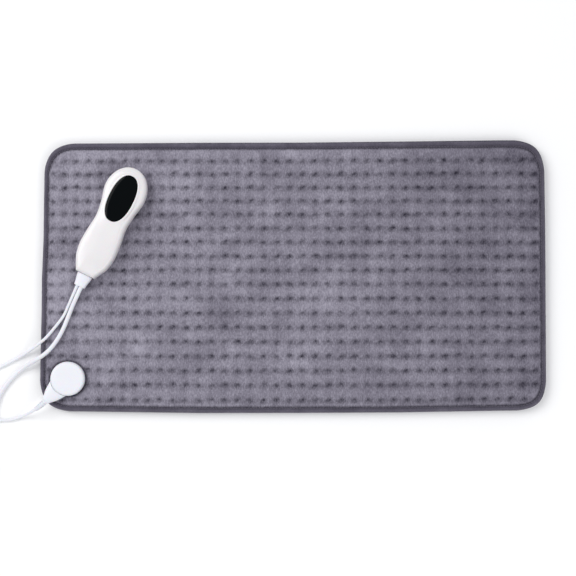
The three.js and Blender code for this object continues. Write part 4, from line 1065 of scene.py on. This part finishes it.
def body_ring(inset, z):
    x = right_side[:, 0] - inset * side_direction[:, 1]
    y = np.maximum(right_side[:, 1] + inset * side_direction[:, 0], CORD_END_Y + inset)
    right = np.c_[np.maximum(x, 0), y]
    right[-1, 0] = 0
    left = right[-2::-1] * (-1, 1)
    across = np.linspace(left[-1], right[0], 12)[1:-1]
    ring = np.concatenate([right, left, across])
    ring[:, 0] += np.interp(ring[:, 1], *SWAY)
    return np.c_[ring, np.full(len(ring), z)]


SIDE_Y, SIDE_X = [y for _, y in HANDSET_SIDE[:-1]], [x for x, _ in HANDSET_SIDE[:-1]]


def crowned(ring):
    """Lifts points of the top by how far they are from the nearest side."""
    wide = np.interp(ring[:, 1], SIDE_Y, SIDE_X)
    from_side = wide - np.abs(ring[:, 0] - np.interp(ring[:, 1], *SWAY))
    inside = np.minimum(from_side, ring[:, 1] - CORD_END_Y)
    ring = ring.copy()
    ring[:, 2] = 19.25 + 0.75 * np.clip((inside - 5) / 13, 0, 1) ** 0.6
    return ring


def lens_ring(grow, z):
    outside = body_ring(0, 0)
    angle = np.arctan2(outside[:, 1] - LENS_MIDDLE, outside[:, 0])
    a, b = LENS_HALF_WIDE + grow, LENS_HALF_LONG + grow
    r = np.abs(np.cos(angle) / a) ** LENS_POWER + np.abs(np.sin(angle) / b) ** LENS_POWER
    r = r ** (-1 / LENS_POWER)
    return np.c_[r * np.cos(angle), LENS_MIDDLE + r * np.sin(angle), np.full(len(angle), z)]


print("outline points:", len(body_ring(0, 0)), "width:", round(float(np.ptp(body_ring(0, 0)[:, 0])), 1), "mm")

# %% Upper shell
EDGE_R = 5.5
edge_turns = [math.radians(a) for a in (12, 25, 38, 51, 64, 77, 90)]
upper_rings = [body_ring(0.25, 9.15), body_ring(0, 9.4), body_ring(0, 11.5)]
upper_rings += [body_ring(EDGE_R * (1 - math.cos(a)), 13.6 + 5.65 * math.sin(a)) for a in edge_turns]
shoulder, collar = upper_rings[-1], lens_ring(2.8, 19.9)
upper_rings += [crowned(shoulder + (collar - shoulder) * t) for t in (0.2, 0.45, 0.7, 0.9)]
LIP = [(2.8, 19.95), (2.1, 20.1), (1.5, 20.32), (0.9, 20.38), (0.45, 20.25), (0.3, 19.9), (0.3, 18.1)]
upper_rings += [lens_ring(grow, z) for grow, z in LIP]
upper_rings += [lens_ring(-1.4, 18.1), lens_ring(-1.4, 16.5), lens_ring(2.4, 16.5)]
upper_rings += [body_ring(7, 17.4), body_ring(3.5, 16.2), body_ring(2, 13), body_ring(2, 9.15)]
upper_shell = place_piece(
    "controller_upper_shell", *skin([moved(r, HANDSET_PLACE) for r in upper_rings], closed=True), abs_shell
)

print("upper shell faces:", len(upper_shell.data.polygons))

# %% Lower shell
lower_rings = [body_ring(9, 2), body_ring(4, 2.1), body_ring(2.2, 3.6), body_ring(2, 5), body_ring(2, 8.85)]
lower_rings += [body_ring(0.25, 8.85), body_ring(0, 8.6), body_ring(0, 5)]
lower_rings += [body_ring(5 * (1 - math.cos(a)), 5 - 5 * math.sin(a)) for a in edge_turns]
lower_rings.append(body_ring(9, 0))
lower_shell = place_piece(
    "controller_lower_shell", *skin([moved(r, HANDSET_PLACE) for r in lower_rings]), abs_shell
)
lower_shell = carve(
    lower_shell, *[rod_cutter((x, y, -1), (x, y, 2.5), 2.75, HANDSET_PLACE) for x, y in HOUSING_SCREWS]
)
print("lower shell faces:", len(lower_shell.data.polygons), "with", len(HOUSING_SCREWS), "screw wells")


# %% Lens
def oval_ring(grow, z, sides=96):
    t = np.linspace(0, 2 * math.pi, sides, endpoint=False)
    a, b = LENS_HALF_WIDE + grow, LENS_HALF_LONG + grow
    c, s = np.cos(t), np.sin(t)
    x = a * np.sign(c) * np.abs(c) ** (2 / LENS_POWER)
    y = b * np.sign(s) * np.abs(s) ** (2 / LENS_POWER)
    return np.c_[x, LENS_MIDDLE + y, np.full(sides, z)]


LENS_PROFILE = [(-0.1, 18.4), (0, 18.5), (0, 19.75), (-0.2, 20.0), (-0.8, 20.15), (-3, 20.3), (-6, 20.42)]
LENS_PROFILE += [(-9, 20.5), (-12, 20.53), (-13.6, 20.54)]
lens = place_piece(
    "display_lens_domed", *skin([moved(oval_ring(g, z), HANDSET_PLACE) for g, z in LENS_PROFILE]), lens_finish
)
print("lens faces:", len(lens.data.polygons))


# %% Boot
def flattened_ring(along, half_wide, half_high, sides=48, power=2.8):
    """A ring across X, between an oval and a rectangle."""
    t = (np.arange(sides) + 0.5) * 2 * math.pi / sides
    c, s = np.cos(t), np.sin(t)
    y = np.sign(c) * np.abs(c) ** (2 / power) * half_wide
    z = np.sign(s) * np.abs(s) ** (2 / power) * half_high
    return np.c_[np.full(sides, along), y, z]


def swelling(stations, step=0.9):
    """Rings along X through (x, half width, half height) stations, on one smooth curve."""
    return [flattened_ring(*p) for p in smooth_line(stations, step)]


BOOT_PLACE = (
    HANDSET_PLACE
    @ Matrix.Translation((0, CORD_END_Y, 7))
    @ Matrix.Rotation(math.radians(-90), 4, "Z")
)
BOOT = [(0.3, 8.7, 4.9), (0.9, 9.1, 5.2), (5, 8.6, 5.05), (10, 7.5, 4.6), (14.8, 6.8, 4.3), (15.5, 6.3, 3.9)]
boot = place_piece("cable_boot_moulded", *skin([moved(r, BOOT_PLACE) for r in swelling(BOOT)]), white_pvc)
LEAD_ACROSS, MAINS_ACROSS = -2.75, 2.3
boot = carve(
    boot,
    rod_cutter((-1, LEAD_ACROSS, 0), (17, LEAD_ACROSS, 0), LEAD_D / 2 + 0.12, BOOT_PLACE),
    rod_cutter((-1, MAINS_ACROSS, 0), (17, MAINS_ACROSS, 0), MAINS_D / 2 + 0.12, BOOT_PLACE),
)
print("boot faces:", len(boot.data.polygons))

# %% [markdown]
# ## The corner connector
# A round socket is screwed through the pad. Its two halves hold three pins, and a flat mouth takes the
# plug's nose. The plug flares to meet the round side and narrows to a ribbed strain relief. Lathe rings
# make the round halves, stations with a smooth curve through them make the flare, and cutters make the
# mouth, the bores and the hollow round the pins.

# %% Socket
SOCKET_PLACE = Matrix.Translation((-266.5, -122.2, 0)) @ Matrix.Rotation(math.radians(225), 4, "Z")
FLOOR_Z, TOP_Z, AXIS_Z = 12.7, 23.0, 17.85


def turned_rings(profile, sides=112):
    t = np.linspace(0, 2 * math.pi, sides, endpoint=False) + 1 / sides
    return [moved(np.c_[r * np.cos(t), r * np.sin(t), np.full(sides, z)], SOCKET_PLACE) for r, z in profile]


CAP = [
    (19.8, AXIS_Z + 0.15), (20, AXIS_Z + 0.35), (20, 20.9), (19.9, 21.15), (18.5, 22.55), (18.2, 22.7),
    (17, 22.8), (14, 22.9), (8, 22.99), (2, TOP_Z), (0.3, TOP_Z),
]
BASE = [
    (0.3, FLOOR_Z), (17.5, FLOOR_Z), (18.9, FLOOR_Z + 0.15), (19.7, FLOOR_Z + 0.7), (20, FLOOR_Z + 1.5),
    (20, AXIS_Z - 0.35), (19.8, AXIS_Z - 0.15), (0.3, AXIS_Z - 0.15),
]


PIN_ACROSS = (-4.2, 0, 4.2)
SCREWS_ON = [(13 * math.cos(math.radians(a)), 13 * math.sin(math.radians(a))) for a in (60, 180, 300)]


def socket_cutters():
    mouth = box_cutter((4.5, -7, AXIS_Z - 3.3), (21, 7, AXIS_Z + 3.3), SOCKET_PLACE)
    stem_bore = rod_cutter((0, 0, 6), (0, 0, 14.8), 6, SOCKET_PLACE)
    pin_room = box_cutter((-7.5, -6.3, 14.4), (0.5, 6.3, 21.3), SOCKET_PLACE)
    bore_z = AXIS_Z + 0.01  # a hair off the parting line, so that no two edges fall together
    bores = [rod_cutter((-1, y, bore_z), (6, y, bore_z), 1.05, SOCKET_PLACE, 16) for y in PIN_ACROSS]
    screws = [rod_cutter((x, y, 5), (x, y, 21.3), 1.5, SOCKET_PLACE, 16) for x, y in SCREWS_ON]
    return [mouth, stem_bore, pin_room, *bores, *screws]


socket_cap = carve(place_piece("socket_cap_turned", *skin(turned_rings(CAP)), white_pvc), *socket_cutters())
socket_base = place_piece("socket_base_turned", *skin(turned_rings(BASE)), white_pvc)
socket_stem = [(7.9, 6.7), (8, 6.9), (8, FLOOR_Z + 0.5)]
stem = place_piece("stem", *skin(turned_rings(socket_stem, 48)), white_pvc)
socket_base = carve(carve(socket_base, stem, operation="UNION"), *socket_cutters())
print("socket faces:", len(socket_cap.data.polygons), len(socket_base.data.polygons))

# %% Plug
PLUG_PLACE = SOCKET_PLACE @ Matrix.Translation((0, 0, AXIS_Z))
PLUG = [
    (14.5, 13.2, 4.7), (17, 12.4, 4.7), (20.5, 11.4, 4.72), (24.5, 10.2, 4.72), (28, 8.9, 4.7),
    (31.5, 7.1, 4.65), (34.5, 5.6, 4.55), (36.4, 4.9, 4.3), (37, 4.3, 3.9),
]


def plug_half(name, low, high):
    half = place_piece(name, *skin([moved(r, PLUG_PLACE) for r in swelling(PLUG)]), white_pvc)
    half = carve(half, rod_cutter((0, 0, -10), (0, 0, 10), 20.3, PLUG_PLACE, 112))
    nose = box_cutter((4.8, -6.7, -3), (23, 6.7, 3), PLUG_PLACE)
    half = carve(half, nose, operation="UNION")
    sleeves = [rod_cutter((4, y, 0), (16.5, y, 0), 1.75, PLUG_PLACE, 16) for y in PIN_ACROSS]
    hollow = box_cutter((16, -4.8, -2.4), (30, 4.8, 2.4), PLUG_PLACE)
    outlet = rod_cutter((28, 0, 0), (38, 0, 0), 3.0, PLUG_PLACE)
    flange_room = rod_cutter((30.7, 0, 0), (33.3, 0, 0), 3.8, PLUG_PLACE)
    other_side = box_cutter((0, -20, low), (45, 20, high), PLUG_PLACE)
    return carve(half, *sleeves, hollow, outlet, flange_room, other_side)


plug_upper = plug_half("plug_upper_moulded", -12, 0.15)
plug_lower = plug_half("plug_lower_moulded", -0.15, 12)
print("plug faces:", len(plug_upper.data.polygons), len(plug_lower.data.polygons))

# %% Strain relief and its ribs
RELIEF_LINE = [(37.6, 0, 0), (42, 0, -0.3), (47, -0.5, -1.5), (51.6, -1.4, -3.65)]
relief_line = moved(smooth_line(RELIEF_LINE, 0.8), PLUG_PLACE)
relief_radii = np.linspace(2.55, 2.05, len(relief_line)) * MM
relief_core = tube_piece("plug_relief_core", relief_line, relief_radii, white_pvc, 24)
anchor_line = moved(np.array([(31, 0, 0), (33, 0, 0), (33.05, 0, 0), (38, 0, 0)]), PLUG_PLACE)
anchor_radii = np.array([3.5, 3.5, 2.55, 2.55]) * MM
relief_anchor = tube_piece("plug_relief_anchor", anchor_line, anchor_radii, white_pvc, 24)
relief_ribs = rods_along(
    "plug_relief_ribs", relief_line, white_pvc,
    **{"Pitch": 2.9 * MM, "Rod length": 1.4 * MM, "Rod radius": 3.9 * MM, "End scale": 0.7, "Rod sides": 24},
)
print("ribs on the plug's relief:", len(relief_ribs.data.vertices) // 48)

# %% [markdown]
# ## Mains plug and ties
# The mains lead ends in a flat two-pin plug, swollen where fingers hold it. Each coil is held by a twist
# tie: a flat ribbon with a wire core, bent round the turns and twisted. The plug could be a bevelled box, but
# its swollen sides come more easily from rings along its length. Its grips are flattened rods from the same
# tree as the ribs. The ribbon is a skin of small rings too, because a bent plane would have no thickness.

# %% Mains plug
MAINS_PLUG_PLACE = Matrix.Translation((-438.5, -177, 6.8)) @ Matrix.Rotation(math.radians(100), 4, "Z")
MAINS_PLUG = [
    (24.3, 5.9, 5.2), (25.2, 6.6, 5.7), (32, 10.6, 6.6), (38, 14.8, 6.75), (43, 17.3, 6.8), (50, 17.6, 6.8),
    (56, 17.3, 6.75), (58.8, 16.4, 6.3), (59.8, 15.2, 5.7),
]
mains_body = place_piece(
    "mains_plug_moulded", *skin([moved(r, MAINS_PLUG_PLACE) for r in swelling(MAINS_PLUG)]), white_pvc
)
mains_relief_line = moved(smooth_line([(0.3, 0, 0), (12, 0, 0), (24.4, 0, 0)], 1), MAINS_PLUG_PLACE)
mains_relief = tube_piece(
    "mains_relief_core", mains_relief_line, np.linspace(2.95, 3.7, len(mains_relief_line)) * MM, white_pvc, 24
)
mains_ribs = rods_along(
    "mains_relief_ribs", mains_relief_line[::-1], white_pvc,
    **{"Pitch": 3.0 * MM, "Rod length": 1.7 * MM, "Rod radius": 4.9 * MM, "End scale": 0.75, "Rod sides": 24},
)
grips = {}
for side, z in (("upper", 6.62), ("lower", -6.42)):
    grip_line = moved(np.array([(36, 0, z), (54, 0, z)]), MAINS_PLUG_PLACE)
    grips[side] = rods_along(
        "mains_grips_" + side, grip_line, white_pvc,
        **{"Pitch": 2.6 * MM, "Rod length": 1.1 * MM, "Rod radius": 8 * MM},
        **{"Flatness": 0.05, "Rod sides": 32},
    )
print("ribs:", len(mains_ribs.data.vertices) // 48, "grips a side:", len(grips["upper"].data.vertices) // 64)


# %% Ties
def tie_wrap(name, coil, layers, angle):
    """A ribbon bent round a coil's turns, with its two ends twisted together outside."""
    wide = (coil["across"] * coil["spacing"] + 1.3) / 2
    low, high = 0.45, COIL_FLOOR + layers * coil["spacing"] + 0.55
    a = math.radians(angle)
    out, on = np.array((math.cos(a), math.sin(a), 0)), np.array((-math.sin(a), math.cos(a), 0))
    middle = np.array((*coil["centre"], 0)) + coil["r"] * out
    middle_z, half_high, corner = (low + high) / 2, (high - low) / 2, 1.6
    rings = []
    for k in range(48):
        t = 2 * math.pi * (k + 0.5) / 48
        c, s = math.cos(t), math.sin(t)
        r = 1 / max(abs(c) / wide, abs(s) / half_high)
        r = min(r, math.hypot(wide, half_high) - corner * 0.6)
        away = np.array((c, s)) * r
        ring = []
        for across, lift in ((-2, -0.4), (2, -0.4), (2.2, 0), (2, 0.4), (-2, 0.4), (-2.2, 0)):
            grown = away * (1 + lift / r)
            place = middle + out * grown[0] + on * across
            ring.append(place + np.array((0, 0, max(0.05, middle_z + grown[1]))))
        rings.append(ring)
    ribbon = place_piece(name + "_ribbon", *skin(np.array(rings) * MM, closed=True), black_nylon, 50)
    ends = []
    for strand in (0, math.pi):
        line = []
        for k in range(40):
            along, turn = k * 0.36, strand + k * 0.55
            base = middle + out * (wide + 0.6) + on * (0.5 + along)
            height = np.array((0, 0, middle_z + 0.75 * math.sin(turn)))
            line.append(base + out * 0.75 * math.cos(turn) + height)
        end_name = name + "_twist_%d" % (len(ends) + 1)
        ends.append(tube_piece(end_name, np.array(line) * MM, 0.6 * MM, black_nylon, 8))
    return [ribbon, *ends]


lead_tie = tie_wrap("pad_lead_tie", LEAD_COIL, 2, 150)
mains_tie = tie_wrap("mains_lead_tie", MAINS_COIL, 2, 60)
print("tie pieces:", [piece.name for piece in (*lead_tie, *mains_tie)])

# %% [markdown]
# ## What rides on what
# Every piece moves with one of the model's two bodies: the pad, or the controls that slide away from it
# when the plug is pulled. Pieces that stand for a CAD solid hide it. One table for each body keeps the
# piece, its finish slot and the solids that it stands for side by side, where a slip is easy to see.

# %% Pieces on the pad
nodes = frame["nodes"]
on_pad = [
    (plush_top, "plush", ["top_cover"]),
    (plush_back, "plush", ["bottom_cover"]),
    (binding, "binding_tape", ["edge_binding"]),
    (stitches["upper"], "binding_tape", []),
    (stitches["lower"], "binding_tape", []),
    (socket_cap, "white_pvc", ["socket_cap"]),
    (socket_base, "white_pvc", ["socket_base"]),
]
on_controls = [
    (upper_shell, "controller_shell", ["handset_upper_shell"]),
    (lower_shell, "controller_shell", ["handset_lower_shell"]),
    (lens, "display_lens", ["display_lens"]),
    (boot, "white_pvc", ["cable_boot"]),
    (plug_upper, "white_pvc", ["plug_upper_shell"]),
    (plug_lower, "white_pvc", ["plug_lower_shell"]),
    (relief_core, "white_pvc", ["plug_strain_relief"]),
    (relief_anchor, "white_pvc", []),
    (relief_ribs, "white_pvc", []),
    (pad_lead, "white_pvc", ["pad_lead_near", "pad_lead_far", "pad_lead_coil"]),
    (mains_lead, "white_pvc", ["mains_lead_near", "mains_lead_far", "mains_lead_coil"]),
    (mains_body, "white_pvc", ["mains_plug_body"]),
    (mains_relief, "white_pvc", ["mains_plug_relief"]),
    (mains_ribs, "white_pvc", []),
    (grips["upper"], "white_pvc", []),
    (grips["lower"], "white_pvc", []),
    (lead_tie[0], "black_plastic", ["pad_lead_tie"]),
    (mains_tie[0], "black_plastic", ["mains_lead_tie"]),
    *[(piece, "black_plastic", []) for piece in (*lead_tie[1:], *mains_tie[1:])],
]
for body, rows in ((PAD, on_pad), (CONTROLS, on_controls)):
    for piece, slot, stands_for in rows:
        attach(piece, body)
        if stands_for:
            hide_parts(*stands_for)
print("pieces on the pad:", len(on_pad), "on the controls:", len(on_controls))

# %% The pieces at each lead's end
connector = [plug_upper, plug_lower, relief_core, relief_anchor, relief_ribs]
connector += [nodes["plug_contact_%d" % n] for n in (1, 2, 3)]
mains_end = [mains_body, mains_relief, mains_ribs, grips["upper"], grips["lower"]]
mains_end += [nodes[kind + "_%d" % n] for kind in ("mains_pin", "mains_pin_sleeve") for n in (1, 2)]
print("pieces on the leads:", len(connector) + len(lead_tie), "and", len(mains_end) + len(mains_tie))
